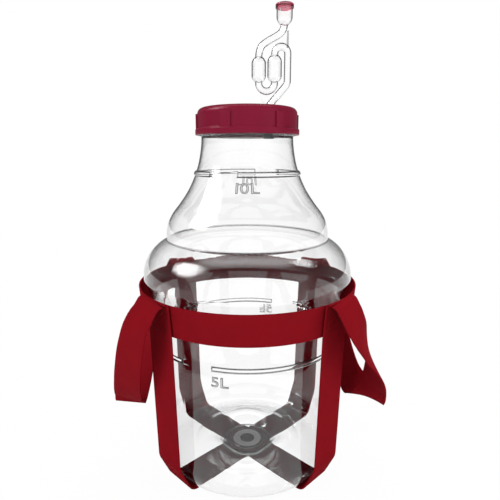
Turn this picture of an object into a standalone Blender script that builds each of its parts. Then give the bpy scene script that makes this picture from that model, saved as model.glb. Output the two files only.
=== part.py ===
"""Plastic demijohn: clear wide-necked bottle, screw cap with a bubbler, and a webbing harness.

Metres, +Z up. The floor is z = 0, the bottle's axis is the Z axis and the front is -Y.
"""

import math

import bmesh
import bpy
from mathutils import Matrix, Vector

NAME = "plastic_demijohn"

# Clearances shared by all pieces
SEAT_GAP = 0.0003
CUT_OVERRUN = 0.004
MERGE = 0.00001

# Webbing
STRAP_THICKNESS = 0.0016
STRAP_WIDTH = 0.0365
BAND_HEIGHT = 0.0315
BAND_BELOW_BULGE = 0.0074
BAND_ROOM = 0.0038
BAND_TAPER = 0.0026
HEEL_STRAP_ROOM = 0.0102
HEEL_STRAP_HEIGHT = 0.0330
FLAT_STRAP_ROOM = 0.0090
HEEL_BEND = 0.0120
SIDE_BEND = 0.0200
BAND_BEND = 0.0500
CREST_BEND = 0.0040
CREST_RISE = 0.0025
CREST_OVERHANG = 0.0008
CROSSING_RAMP = 0.0100
STRAP_AZIMUTHS_DEG = (45.0, 135.0)
BAND_SIDES = 64

# Carrying loops
HANDLE_GAP = 0.0009
HANDLE_REACH = 0.0520
HANDLE_DROP = 0.1570
HANDLE_SAMPLES = 3
# Each station: along the side, out from the crest, down from the crest (all as shares of
# crest offset, reach and drop), and the turn of the ribbon's width from +X in degrees
LEFT_LOOP_SHARES = (
    (-1.000, 0.000, 0.000, -45.0),
    (-1.030, 0.055, 0.008, -45.0),
    (-1.045, 0.120, 0.045, -45.0),
    (-1.020, 0.210, 0.110, -44.0),
    (-0.930, 0.400, 0.250, -40.0),
    (-0.770, 0.600, 0.430, -33.0),
    (-0.540, 0.800, 0.660, -22.0),
    (-0.300, 0.930, 0.860, -12.0),
    (-0.110, 0.985, 0.970, -5.0),
    (0.060, 1.000, 1.000, 0.0),
    (0.240, 0.985, 0.970, 5.0),
    (0.420, 0.940, 0.890, 10.0),
    (0.620, 0.840, 0.740, 18.0),
    (0.800, 0.660, 0.500, 28.0),
    (0.940, 0.420, 0.260, 38.0),
    (1.020, 0.210, 0.110, 44.0),
    (1.045, 0.120, 0.045, 45.0),
    (1.030, 0.055, 0.008, 45.0),
    (1.000, 0.000, 0.000, 45.0),
)
RIGHT_LOOP_SHARES = (
    (-1.000, 0.000, 0.000, 45.0),
    (-1.030, 0.055, 0.008, 45.0),
    (-1.045, 0.130, 0.045, 45.0),
    (-1.000, 0.260, 0.140, 46.0),
    (-0.955, 0.345, 0.215, 50.0),
    (-0.870, 0.480, 0.330, 60.0),
    (-0.780, 0.620, 0.430, 76.0),
    (-0.630, 0.780, 0.580, 102.0),
    (-0.420, 0.930, 0.755, 130.0),
    (-0.210, 1.000, 0.895, 148.0),
    (-0.040, 1.000, 0.960, 156.0),
    (0.140, 0.930, 0.975, 156.0),
    (0.340, 0.850, 0.915, 151.0),
    (0.520, 0.790, 0.815, 147.0),
    (0.700, 0.690, 0.665, 143.0),
    (0.890, 0.440, 0.400, 139.0),
    (1.010, 0.210, 0.140, 136.0),
    (1.045, 0.120, 0.045, 135.0),
    (1.030, 0.055, 0.008, 135.0),
    (1.000, 0.000, 0.000, 135.0),
)

# Bottle, heights measured from its foot
BOTTLE_SIDES = 40
WALL = 0.0012
NECK_WALL = 0.0025
NECK_RADIUS = 0.0485
NECK_TOP = 0.3862
NECK_ROOT = 0.3630
NECK_BEAD_HEIGHT = 0.0030
NECK_BEAD_PROUD = 0.0012
SHOULDER_RADIUS = 0.0880
SHOULDER_HEIGHT = 0.2633
BULGE_START_RADIUS = 0.0884
BULGE_START_HEIGHT = 0.2552
BULGE_RADIUS = 0.1144
BULGE_HEIGHT = 0.2150
BODY_TOP_RADIUS = 0.1055
BODY_TOP_HEIGHT = 0.1830
BODY_RADIUS = 0.1040
HEEL_HEIGHT = 0.0260
FOOT_RADIUS = 0.0900
FOOT_WIDTH = 0.0080
PUNT_EDGE_RADIUS = 0.0630
PUNT_EDGE_HEIGHT = 0.0050
PUNT_HEIGHT = 0.0130
GATE_RING_RADII = (0.0270, 0.0170, 0.0084)
GATE_RING_WIDTH = 0.0024
GATE_RING_PROUD = 0.0008
# Each share pair: down from the upper height, out from the upper radius
SHOULDER_SHARES = (
    (0.078, 0.008), (0.189, 0.046), (0.302, 0.109), (0.430, 0.224), (0.560, 0.382),
    (0.692, 0.605), (0.805, 0.825), (0.900, 0.950), (1.000, 1.000),
)
BULGE_SHARES = (
    (0.120, 0.310), (0.270, 0.572), (0.470, 0.790), (0.720, 0.943), (1.000, 1.000),
)
UNDER_BULGE_SHARES = (
    (0.100, 0.075), (0.260, 0.335), (0.440, 0.650), (0.660, 0.880), (1.000, 1.000),
)
PUNT_SHARES = ((0.62, 0.36), (0.90, 0.70))

# Graduation beads moulded on the wall: height, then where each half begins and its span
BEAD_PROUD = 0.0018
BEAD_HEIGHT = 0.0054
TEN_LITRE_BELOW_NECK = 0.0376
TEN_LITRE_START_DEG = -100.0
TEN_LITRE_SPAN_DEG = 149.0
FIVE_LITRE_HEIGHT = 0.1466
FIVE_LITRE_START_DEG = -108.6
FIVE_LITRE_SPAN_DEG = 161.8

# Screw cap
CAP_SIDES = 48
GASKET_THICKNESS = 0.0016
GASKET_WIDTH = 0.0065
CAP_HEIGHT = 0.0274
CAP_TOP_THICKNESS = 0.0034
CAP_BAND_RADIUS = 0.0548
CAP_BAND_HEIGHT = 0.0062
CAP_RIB_RADIUS = 0.0542
CAP_RIB_HEIGHT = 0.0148
CAP_PANEL_RADIUS = 0.0524
CAP_BORE_RADIUS = 0.0504
CAP_SHOULDER = 0.0062
CAP_EDGE = 0.0007
CAP_RIBS = 6
CAP_RIB_ANGLE_DEG = 11.0
CAP_FIRST_RIB_DEG = -113.0

# Bubbler and its bung
BUNG_SIDES = 24
DUST_CAP_SIDES = 32
BUNG_OFFSET = 0.0228
BUNG_RADIUS = 0.0064
BUNG_FLANGE_RADIUS = 0.0092
BUNG_FLANGE_THICKNESS = 0.0012
BUNG_LENGTH = 0.0310
TUBE_RADIUS = 0.00365
TUBE_WALL = 0.0010
TUBE_RESOLUTION = 3
TUBE_TAIL = 0.0300
INLET_START = 0.0014
INLET_RISE = 0.0216
INLET_SHIFT = 0.0186
INLET_BEND = 0.0042
DOWN_TUBE_BEND = 0.0080
UPPER_BEND_RADIUS = 0.00665
LOWER_BEND_RADIUS = 0.00815
DOWN_TUBE_HEIGHT = 0.0294
BULB_RADIUS = 0.0074
RIGHT_BULB_LENGTH = 0.0257
LEFT_BULB_LENGTH = 0.0240
BULB_END = 0.0060
SWELL_SHARES = (0.0, 0.1, 0.35, 1.0)
RIGHT_BULB_GAP = 0.0019
LOWER_BEND_GAP = 0.0010
STEM_RISE = 0.0307
STEM_SHIFT = 0.0257
STEM_SHARES = (
    (0.000, 0.000), (0.015, 0.140), (0.109, 0.342), (0.360, 0.500), (0.655, 0.632),
    (0.860, 0.745), (0.965, 0.880), (1.000, 1.000),
)
CUP_RADIUS = 0.0081
CUP_HEIGHT = 0.0205
CUP_END = 0.0070
WEB_THICKNESS = 0.0012
DUST_CAP_HEIGHT = 0.0090
DUST_CAP_WALL = 0.0008
DUST_CAP_TOP = 0.0013
DUST_CAP_ROUND = 0.0012

# Values that follow from the sizes above
BOTTLE_Z = STRAP_THICKNESS + SEAT_GAP
TEN_LITRE_HEIGHT = NECK_ROOT - TEN_LITRE_BELOW_NECK
BAND_TOP = BOTTLE_Z + BULGE_HEIGHT - BAND_BELOW_BULGE
BAND_BOTTOM = BAND_TOP - BAND_HEIGHT
BAND_TOP_RADIUS = BULGE_RADIUS + BAND_ROOM + STRAP_THICKNESS
BAND_BOTTOM_RADIUS = BAND_TOP_RADIUS - BAND_TAPER
HEEL_STRAP_RADIUS = BODY_RADIUS + HEEL_STRAP_ROOM
FLAT_STRAP_RADIUS = FOOT_RADIUS + FLAT_STRAP_ROOM
RIM_Z = BOTTLE_Z + NECK_TOP
CAP_UNDERSIDE_Z = RIM_Z + SEAT_GAP + GASKET_THICKNESS + SEAT_GAP
CAP_TOP_Z = CAP_UNDERSIDE_Z + CAP_TOP_THICKNESS
CAP_BOTTOM_Z = CAP_TOP_Z - CAP_HEIGHT
BUNG_SEAT_Z = CAP_TOP_Z + SEAT_GAP
BUNG_TOP_Z = BUNG_SEAT_Z + BUNG_FLANGE_THICKNESS
DOWN_TUBE_X = BUNG_OFFSET + INLET_SHIFT
RIGHT_BULB_X = DOWN_TUBE_X - 2 * UPPER_BEND_RADIUS
LEFT_BULB_X = RIGHT_BULB_X - 2 * LOWER_BEND_RADIUS
CUP_X = LEFT_BULB_X + STEM_SHIFT
INLET_Z = BUNG_TOP_Z + INLET_START
DOWN_TUBE_Z = INLET_Z + INLET_RISE
UPPER_BEND_Z = DOWN_TUBE_Z + DOWN_TUBE_HEIGHT
RIGHT_BULB_TOP_Z = UPPER_BEND_Z - RIGHT_BULB_GAP
BULB_BOTTOM_Z = RIGHT_BULB_TOP_Z - RIGHT_BULB_LENGTH
LOWER_BEND_Z = BULB_BOTTOM_Z - LOWER_BEND_GAP
STEM_Z = BULB_BOTTOM_Z + LEFT_BULB_LENGTH
CUP_Z = STEM_Z + STEM_RISE
CUP_TOP_Z = CUP_Z + CUP_HEIGHT
DUST_CAP_RADIUS = CUP_RADIUS + SEAT_GAP + DUST_CAP_WALL
CREST_HEIGHT = BAND_TOP + CREST_RISE
CREST_RADIUS = BAND_TOP_RADIUS + SEAT_GAP + STRAP_THICKNESS / 2 + CREST_BEND + CREST_OVERHANG
CREST_OFFSET = (CREST_RADIUS + HANDLE_GAP) * math.sqrt(0.5)


def clear_scene():
    """Remove whatever objects the file already holds."""
    for old in list(bpy.data.objects):
        bpy.data.objects.remove(old, do_unlink=True)


def make_collection(name):
    """Return a new collection linked to the scene."""
    group = bpy.data.collections.new(name)
    bpy.context.scene.collection.children.link(group)
    return group


def make_material(name, colour, roughness, transmission=0.0):
    """Return a plain Principled material."""
    material = bpy.data.materials.new(name)
    material.use_nodes = True
    shader = material.node_tree.nodes["Principled BSDF"]
    shader.inputs["Base Color"].default_value = (*colour, 1.0)
    shader.inputs["Roughness"].default_value = roughness
    shader.inputs["Metallic"].default_value = 0.0
    shader.inputs["Transmission Weight"].default_value = transmission
    material.diffuse_color = (*colour, 1.0)
    return material


def add_object(name, mesh, group, material=None):
    """Link a mesh as a named object in its collection."""
    thing = bpy.data.objects.new(name, mesh)
    group.objects.link(thing)
    if material:
        mesh.materials.append(material)
    return thing


def as_cutter(thing):
    """Keep a helper shape out of the picture and out of the part."""
    thing.hide_render = True
    thing.display_type = "WIRE"
    return thing


def combine(thing, tool, operation):
    """Add an exact Boolean modifier."""
    change = thing.modifiers.new(tool.name, "BOOLEAN")
    change.operation = operation
    change.solver = "EXACT"
    change.object = as_cutter(tool)
    return thing


def turned(name, profile, group, material=None, closed=False, sides=BOTTLE_SIDES):
    """Turn a profile of (radius, height) points about Z; it runs down the outer side."""
    mesh = bpy.data.meshes.new(name)
    points = [(radius, 0.0, height) for radius, height in profile]
    edges = [(index, index + 1) for index in range(len(points) - 1)]
    if closed:
        edges.append((len(points) - 1, 0))
    mesh.from_pydata(points, edges, [])
    thing = add_object(name, mesh, group, material)
    screw = thing.modifiers.new("Turn", "SCREW")
    screw.steps = sides
    screw.render_steps = sides
    screw.use_merge_vertices = True
    screw.merge_threshold = MERGE
    screw.use_smooth_shade = True
    return thing


def swept_arc(name, section, start_deg, span_deg, steps, group):
    """Sweep a closed (radius, height) section about Z through an angle, with flat ends."""
    turn = Matrix.Rotation(math.radians(start_deg), 3, "Z")
    shape = bmesh.new()
    corners = [shape.verts.new(turn @ Vector((radius, 0.0, height))) for radius, height in section]
    face = shape.faces.new(corners)
    bmesh.ops.spin(
        shape, geom=[face, *face.edges, *face.verts], axis=(0.0, 0.0, 1.0), cent=(0.0, 0.0, 0.0),
        angle=math.radians(span_deg), steps=steps,
    )
    bmesh.ops.recalc_face_normals(shape, faces=shape.faces)
    mesh = bpy.data.meshes.new(name)
    shape.to_mesh(mesh)
    shape.free()
    return add_object(name, mesh, group)


def arc_points(centre_x, centre_z, radius, start_deg, end_deg, steps):
    """Return points along an arc in the X-Z plane, both ends included."""
    angles = [math.radians(start_deg + (end_deg - start_deg) * step / steps) for step in range(steps + 1)]
    return [(centre_x + radius * math.cos(angle), centre_z + radius * math.sin(angle)) for angle in angles]


def fillet(corner, before, after, radius, steps):
    """Round one corner of a path in a plane and return the points of the arc."""
    corner, before, after = Vector(corner), Vector(before), Vector(after)
    first, second = (before - corner).normalized(), (after - corner).normalized()
    half = first.angle(second) / 2
    reach = radius / math.tan(half)
    centre = corner + (first + second).normalized() * (radius / math.sin(half))
    start = (corner + first * reach - centre).normalized()
    end = (corner + second * reach - centre).normalized()
    return [tuple(centre + start.slerp(end, step / steps) * radius) for step in range(steps + 1)]


def curve_value(a, b, c, d, t):
    """Return the Catmull-Rom value between b and c at share t."""
    squared, cubed = 2 * a - 5 * b + 4 * c - d, 3 * b - a - 3 * c + d
    return (2 * b + (c - a) * t + squared * t**2 + cubed * t**3) / 2


def smooth_path(stations, samples):
    """Return points of a Catmull-Rom curve through tuples of numbers."""
    padded = [stations[0], *stations, stations[-1]]
    path = []
    for index in range(len(stations) - 1):
        for sample in range(samples):
            path.append(tuple(
                curve_value(*around, sample / samples) for around in zip(*padded[index:index + 4])
            ))
    path.append(stations[-1])
    return path


def ribbon(name, centres, widths, group, material):
    """Loft a strip of webbing along its centre line; widths gives the way across at each point."""
    shape = bmesh.new()
    rows = []
    for index, centre in enumerate(centres):
        ahead = centres[min(index + 1, len(centres) - 1)] - centres[max(index - 1, 0)]
        across = widths[index] - ahead * (widths[index].dot(ahead) / ahead.length_squared)
        across = across.normalized() * (STRAP_WIDTH / 2)
        rows.append([shape.verts.new(centre + across * side) for side in (-1, 0, 1)])
    for row, following in zip(rows, rows[1:]):
        for left in range(2):
            shape.faces.new((row[left], row[left + 1], following[left + 1], following[left]))
    mesh = bpy.data.meshes.new(name)
    shape.to_mesh(mesh)
    shape.free()
    mesh.shade_smooth()
    thing = add_object(name, mesh, group, material)
    shell = thing.modifiers.new("Webbing", "SOLIDIFY")
    shell.thickness = STRAP_THICKNESS
    shell.offset = 0.0
    shell.use_even_offset = True
    return thing


def shared_curve(start, end, shares):
    """Place share pairs between an upper and a lower (radius, height) point."""
    return [
        (start[0] + (end[0] - start[0]) * out, start[1] + (end[1] - start[1]) * down)
        for down, out in shares
    ]


def bottle_outline():
    """Return the bottle's outer outline from the rim down to the centre of its base."""
    outline = [
        (NECK_RADIUS, NECK_TOP),
        (NECK_RADIUS, NECK_ROOT + NECK_BEAD_HEIGHT),
        (NECK_RADIUS + NECK_BEAD_PROUD, NECK_ROOT + NECK_BEAD_HEIGHT / 2),
        (NECK_RADIUS, NECK_ROOT),
    ]
    neck, shoulder = (NECK_RADIUS, NECK_ROOT), (SHOULDER_RADIUS, SHOULDER_HEIGHT)
    outline += shared_curve(neck, shoulder, SHOULDER_SHARES)
    step, bulge = (BULGE_START_RADIUS, BULGE_START_HEIGHT), (BULGE_RADIUS, BULGE_HEIGHT)
    outline.append(step)
    outline += shared_curve(step, bulge, BULGE_SHARES)
    outline += shared_curve(bulge, (BODY_TOP_RADIUS, BODY_TOP_HEIGHT), UNDER_BULGE_SHARES)
    heel = BODY_RADIUS - FOOT_RADIUS
    outline += [
        (FOOT_RADIUS + heel * math.cos(angle), HEEL_HEIGHT - HEEL_HEIGHT * math.sin(angle))
        for angle in (math.radians(degrees) for degrees in range(0, 91, 18))
    ]
    foot_inside = FOOT_RADIUS - FOOT_WIDTH
    outline += [(foot_inside, 0.0), (PUNT_EDGE_RADIUS, PUNT_EDGE_HEIGHT)]
    ring_start = GATE_RING_RADII[0] + GATE_RING_WIDTH / 2
    outline += shared_curve(
        (PUNT_EDGE_RADIUS, PUNT_EDGE_HEIGHT), (ring_start, PUNT_HEIGHT), PUNT_SHARES,
    )
    for radius in GATE_RING_RADII:
        outline += [
            (radius + GATE_RING_WIDTH / 2, PUNT_HEIGHT),
            (radius, PUNT_HEIGHT - GATE_RING_PROUD),
            (radius - GATE_RING_WIDTH / 2, PUNT_HEIGHT),
        ]
    outline.append((0.0, PUNT_HEIGHT))
    return outline


def inner_outline(outline):
    """Offset the outer outline inwards by the wall, thicker at the neck."""
    plain = [point for point in outline if not is_trim(point)]
    inner = []
    for index, (radius, height) in enumerate(plain):
        before, after = plain[max(index - 1, 0)], plain[min(index + 1, len(plain) - 1)]
        along = Vector((after[0] - before[0], after[1] - before[1])).normalized()
        wall = NECK_WALL if height >= NECK_ROOT else WALL
        inner.append((radius + along.y * wall, height - along.x * wall))
    inner[0] = (NECK_RADIUS - NECK_WALL, NECK_TOP)
    inner[-1] = (0.0, PUNT_HEIGHT + WALL)
    return inner


def is_trim(point):
    """Tell whether a point belongs to a bead that the inside doesn't follow."""
    radius, height = point
    neck_bead = radius > NECK_RADIUS and NECK_ROOT < height < NECK_TOP
    gate_ring = 0.0 < radius < GATE_RING_RADII[0] + GATE_RING_WIDTH / 4
    return neck_bead or gate_ring


def radius_at(outline, height):
    """Return the outer radius at a height above the foot."""
    for upper, lower in zip(outline, outline[1:]):
        if upper[1] >= height >= lower[1] and upper[1] > lower[1]:
            share = (upper[1] - height) / (upper[1] - lower[1])
            return upper[0] + (lower[0] - upper[0]) * share
    return outline[0][0]


def make_graduation(name, outline, height, start_deg, span_deg, group):
    """Return the two half-round beads of one graduation mark, one on each side."""
    radius = radius_at(outline, height)
    section = [(radius - WALL / 2, height - BEAD_HEIGHT / 2), (radius - WALL / 2, height + BEAD_HEIGHT / 2)]
    section += [
        (radius + BEAD_PROUD * math.sin(angle), height + BEAD_HEIGHT / 2 * math.cos(angle))
        for angle in (math.radians(degrees) for degrees in (35, 90, 145))
    ]
    steps = round(BOTTLE_SIDES * span_deg / 360)
    return [
        swept_arc(f"{name}_{side}", section, start_deg + 180.0 * side, span_deg, steps, group)
        for side in range(2)
    ]


def make_bottle(group, cutters, material):
    """Blow-moulded shell with a wide neck, stepped shoulder, bulge and punted base."""
    outline = bottle_outline()
    bottle = turned("bottle", list(reversed(inner_outline(outline))) + outline, group, material)
    beads = make_graduation(
        "ten_litre_bead", outline, TEN_LITRE_HEIGHT, TEN_LITRE_START_DEG, TEN_LITRE_SPAN_DEG, cutters,
    )
    beads += make_graduation(
        "five_litre_bead", outline, FIVE_LITRE_HEIGHT, FIVE_LITRE_START_DEG, FIVE_LITRE_SPAN_DEG, cutters,
    )
    for bead in beads:
        bead.parent = bottle
        combine(bottle, bead, "UNION")
    bottle.location.z = BOTTLE_Z
    return bottle


def make_cap_gasket(group, material):
    """Flat sealing ring between the rim and the cap."""
    bottom = RIM_Z + SEAT_GAP
    outer, inner = NECK_RADIUS, NECK_RADIUS - GASKET_WIDTH
    top = bottom + GASKET_THICKNESS
    profile = [(outer, top), (outer, bottom), (inner, bottom), (inner, top)]
    return turned("cap_gasket", profile, group, material, closed=True)


def make_screw_cap(group, cutters, material):
    """Cap with a rounded shoulder, a plain lower band and six grip ribs between flat panels."""
    rib_bottom = CAP_BOTTOM_Z + CAP_BAND_HEIGHT
    rib_top = rib_bottom + CAP_RIB_HEIGHT
    shoulder_x, shoulder_z = CAP_PANEL_RADIUS - CAP_SHOULDER, CAP_TOP_Z - CAP_SHOULDER
    profile = [(0.0, CAP_TOP_Z)]
    profile += arc_points(shoulder_x, shoulder_z, CAP_SHOULDER, 90.0, 0.0, 5)
    profile += [
        (CAP_RIB_RADIUS - CAP_EDGE, rib_top),
        (CAP_RIB_RADIUS, rib_top - CAP_EDGE),
        (CAP_RIB_RADIUS, rib_bottom),
        (CAP_BAND_RADIUS, rib_bottom - CAP_EDGE),
        (CAP_BAND_RADIUS, CAP_BOTTOM_Z),
        (CAP_BORE_RADIUS, CAP_BOTTOM_Z),
        (CAP_BORE_RADIUS, CAP_UNDERSIDE_Z),
        (0.0, CAP_UNDERSIDE_Z),
    ]
    cap = turned("screw_cap", profile, group, material, sides=CAP_SIDES)
    far = CAP_BAND_RADIUS + CUT_OVERRUN
    over = rib_top + CAP_EDGE
    panel = [(CAP_PANEL_RADIUS, rib_bottom), (far, rib_bottom), (far, over), (CAP_PANEL_RADIUS, over)]
    pitch_deg = 360.0 / CAP_RIBS
    for number in range(CAP_RIBS):
        start_deg = CAP_FIRST_RIB_DEG + CAP_RIB_ANGLE_DEG / 2 + pitch_deg * number
        cut = swept_arc(f"cap_panel_{number}", panel, start_deg, pitch_deg - CAP_RIB_ANGLE_DEG, 8, cutters)
        combine(cap, cut, "DIFFERENCE")
    hole = BUNG_RADIUS + SEAT_GAP
    drill = turned(
        "bung_hole",
        [
            (0.0, CAP_TOP_Z + CUT_OVERRUN), (hole, CAP_TOP_Z + CUT_OVERRUN),
            (hole, CAP_UNDERSIDE_Z - CUT_OVERRUN), (0.0, CAP_UNDERSIDE_Z - CUT_OVERRUN),
        ],
        cutters, sides=BUNG_SIDES,
    )
    drill.location.x = BUNG_OFFSET
    combine(cap, drill, "DIFFERENCE")
    return cap


def make_bung(group, material):
    """Rubber bung with a top flange and a bore for the bubbler's tail."""
    bottom, bore = BUNG_SEAT_Z - BUNG_LENGTH, TUBE_RADIUS + SEAT_GAP
    profile = [
        (BUNG_FLANGE_RADIUS, BUNG_TOP_Z), (BUNG_FLANGE_RADIUS, BUNG_SEAT_Z), (BUNG_RADIUS, BUNG_SEAT_Z),
        (BUNG_RADIUS, bottom), (bore, bottom), (bore, BUNG_TOP_Z),
    ]
    bung = turned("airlock_bung", profile, group, material, closed=True, sides=BUNG_SIDES)
    bung.location.x = BUNG_OFFSET
    return bung


def bulb(x, start_z, end_z, inset):
    """Return the points and radii of one bulb, run from start to end along Z."""
    way = math.copysign(1.0, end_z - start_z)
    low, high = start_z + way * inset, end_z - way * inset
    thin, thick, end = TUBE_RADIUS - inset, BULB_RADIUS - inset, BULB_END
    swell = [(share, thin + (thick - thin) * dome(share)) for share in SWELL_SHARES]
    rising = [(x, low + way * end * share, radius) for share, radius in swell]
    falling = [(x, high - way * end * share, radius) for share, radius in reversed(swell)]
    return rising + falling


def dome(share):
    """Return how far a round end has swelled at a share of its depth."""
    return math.sqrt(1 - (1 - share)**2)


def airlock_route(inset):
    """Return (x, z, radius) along the bubbler from its tail to the cup, drawn in by inset."""
    thin = TUBE_RADIUS - inset
    tail_z = BUNG_TOP_Z - TUBE_TAIL
    low_corner, high_corner = (BUNG_OFFSET, INLET_Z), (DOWN_TUBE_X, DOWN_TUBE_Z)
    inlet = [(BUNG_OFFSET, tail_z - CUT_OVERRUN * (inset > 0))]
    inlet += fillet(low_corner, (BUNG_OFFSET, tail_z), high_corner, INLET_BEND, 3)
    inlet += fillet(high_corner, low_corner, (DOWN_TUBE_X, UPPER_BEND_Z), DOWN_TUBE_BEND, 3)
    upper_x, lower_x = DOWN_TUBE_X - UPPER_BEND_RADIUS, RIGHT_BULB_X - LOWER_BEND_RADIUS
    upper = arc_points(upper_x, UPPER_BEND_Z, UPPER_BEND_RADIUS, 0.0, 180.0, 8)
    lower = arc_points(lower_x, LOWER_BEND_Z, LOWER_BEND_RADIUS, 0.0, -180.0, 8)
    stem = [(LEFT_BULB_X + STEM_SHIFT * out, STEM_Z + STEM_RISE * up) for out, up in STEM_SHARES]
    cup_floor, cup_top = CUP_Z + inset, CUP_TOP_Z + CUT_OVERRUN * (inset > 0)
    route = [(x, z, thin) for x, z in inlet + upper]
    route += bulb(RIGHT_BULB_X, RIGHT_BULB_TOP_Z, BULB_BOTTOM_Z, inset)
    route += [(x, z, thin) for x, z in lower]
    route += bulb(LEFT_BULB_X, BULB_BOTTOM_Z, STEM_Z, inset)
    route += [(x, z, thin) for x, z in stem[1:-1]]
    route += [
        (CUP_X, cup_floor + CUP_END * share, thin + (CUP_RADIUS - inset - thin) * dome(share))
        for share in SWELL_SHARES
    ]
    route.append((CUP_X, cup_top, CUP_RADIUS - inset))
    return route


def pipe(name, route, group):
    """Make a round tube mesh of changing radius along (x, z, radius) points."""
    curve = bpy.data.curves.new(name, "CURVE")
    curve.dimensions = "3D"
    curve.bevel_depth = TUBE_RADIUS
    curve.bevel_resolution = TUBE_RESOLUTION
    curve.use_fill_caps = True
    spline = curve.splines.new("POLY")
    spline.points.add(len(route) - 1)
    for point, (x, z, radius) in zip(spline.points, route):
        point.co = (x, 0.0, z, 1.0)
        point.radius = radius / TUBE_RADIUS
    drawn = bpy.data.objects.new(name, curve)
    group.objects.link(drawn)
    bpy.context.view_layer.update()
    mesh = bpy.data.meshes.new_from_object(drawn.evaluated_get(bpy.context.evaluated_depsgraph_get()))
    shape = bmesh.new()
    shape.from_mesh(mesh)
    bmesh.ops.remove_doubles(shape, verts=shape.verts, dist=MERGE)
    bmesh.ops.recalc_face_normals(shape, faces=shape.faces)
    shape.to_mesh(mesh)
    shape.free()
    place = drawn.matrix_world.copy()
    bpy.data.objects.remove(drawn, do_unlink=True)
    thing = add_object(name, mesh, group)
    thing.matrix_world = place
    return thing


def web(name, corners, group):
    """Make a thin flat web in the bubbler's plane."""
    shape = bmesh.new()
    near = [shape.verts.new((x, -WEB_THICKNESS / 2, z)) for x, z in corners]
    face = shape.faces.new(near)
    grown = bmesh.ops.extrude_face_region(shape, geom=[face])
    moved = [item for item in grown["geom"] if isinstance(item, bmesh.types.BMVert)]
    bmesh.ops.translate(shape, verts=moved, vec=(0.0, WEB_THICKNESS, 0.0))
    bmesh.ops.recalc_face_normals(shape, faces=shape.faces)
    mesh = bpy.data.meshes.new(name)
    shape.to_mesh(mesh)
    shape.free()
    return add_object(name, mesh, group)


def make_airlock(group, cutters, material):
    """Double-bulb bubbler: tail, inlet, upper bend, two bulbs, lower bend, stem and open cup."""
    airlock = pipe("airlock_tube", airlock_route(0.0), group)
    airlock.data.materials.append(material)
    stem_low, stem_high = STEM_SHARES[4], STEM_SHARES[6]
    stem_web = [
        (DOWN_TUBE_X, UPPER_BEND_Z + UPPER_BEND_RADIUS / 2),
        (CUP_X + TUBE_RADIUS, STEM_Z + STEM_RISE * stem_high[1]),
        (LEFT_BULB_X + STEM_SHIFT * stem_high[0], STEM_Z + STEM_RISE * stem_high[1]),
        (LEFT_BULB_X + STEM_SHIFT * stem_low[0], STEM_Z + STEM_RISE * stem_low[1]),
        (DOWN_TUBE_X - UPPER_BEND_RADIUS, UPPER_BEND_Z + UPPER_BEND_RADIUS),
    ]
    lower_x, inlet_middle_x = RIGHT_BULB_X - LOWER_BEND_RADIUS, (BUNG_OFFSET + DOWN_TUBE_X) / 2
    slant = LOWER_BEND_RADIUS * math.sqrt(0.5)
    foot_web = [
        (LEFT_BULB_X + TUBE_RADIUS / 2, LOWER_BEND_Z - LOWER_BEND_RADIUS),
        (LEFT_BULB_X + TUBE_RADIUS, INLET_Z + INLET_BEND),
        (BUNG_OFFSET, INLET_Z),
        (inlet_middle_x, (INLET_Z + DOWN_TUBE_Z) / 2),
        (lower_x + slant, LOWER_BEND_Z - slant),
    ]
    combine(airlock, web("stem_web", stem_web, cutters), "UNION")
    combine(airlock, web("foot_web", foot_web, cutters), "UNION")
    combine(airlock, pipe("airlock_bore", airlock_route(TUBE_WALL), cutters), "DIFFERENCE")
    return airlock


def make_dust_cap(group, material):
    """Push-on cap over the bubbler's cup."""
    underside = CUP_TOP_Z + SEAT_GAP
    top, inner = underside + DUST_CAP_TOP, CUP_RADIUS + SEAT_GAP
    bottom = top - DUST_CAP_HEIGHT
    profile = [(0.0, top)]
    round_x, round_z = DUST_CAP_RADIUS - DUST_CAP_ROUND, top - DUST_CAP_ROUND
    profile += arc_points(round_x, round_z, DUST_CAP_ROUND, 90.0, 0.0, 3)
    profile += [(DUST_CAP_RADIUS, bottom), (inner, bottom), (inner, underside), (0.0, underside)]
    cap = turned("airlock_cap", profile, group, material, sides=DUST_CAP_SIDES)
    cap.location.x = CUP_X
    return cap


def make_band(group, material):
    """Webbing band round the bottle, a little wider at the top."""
    profile = [
        (BAND_TOP_RADIUS, BAND_TOP), (BAND_BOTTOM_RADIUS, BAND_BOTTOM),
        (BAND_BOTTOM_RADIUS - STRAP_THICKNESS, BAND_BOTTOM), (BAND_TOP_RADIUS - STRAP_THICKNESS, BAND_TOP),
    ]
    return turned("band_strap", profile, group, material, closed=True, sides=BAND_SIDES)


def strap_half(lift):
    """Return (distance, height) from the middle of a base strap out and up to its crest."""
    clear = SEAT_GAP + STRAP_THICKNESS / 2
    low = STRAP_THICKNESS / 2
    flat = (FLAT_STRAP_RADIUS, low)
    heel = (HEEL_STRAP_RADIUS, HEEL_STRAP_HEIGHT)
    side = (BAND_BOTTOM_RADIUS + clear, BAND_BOTTOM)
    lean = BAND_TAPER / BAND_HEIGHT
    crest_corner = (BAND_TOP_RADIUS + clear + lean * CREST_RISE, CREST_HEIGHT)
    end = (CREST_RADIUS, CREST_HEIGHT)
    edge = STRAP_WIDTH / 2 + SEAT_GAP
    path = [(0.0, low + lift)]
    if lift:
        path += [(edge, low + lift), (edge + CROSSING_RAMP, low)]
    path += fillet(flat, (0.0, low), heel, HEEL_BEND, 4)
    path += fillet(heel, flat, side, SIDE_BEND, 4)
    path += fillet(side, heel, crest_corner, BAND_BEND, 2)
    path += fillet(crest_corner, side, end, CREST_BEND, 5)
    return path + [end]


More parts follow.
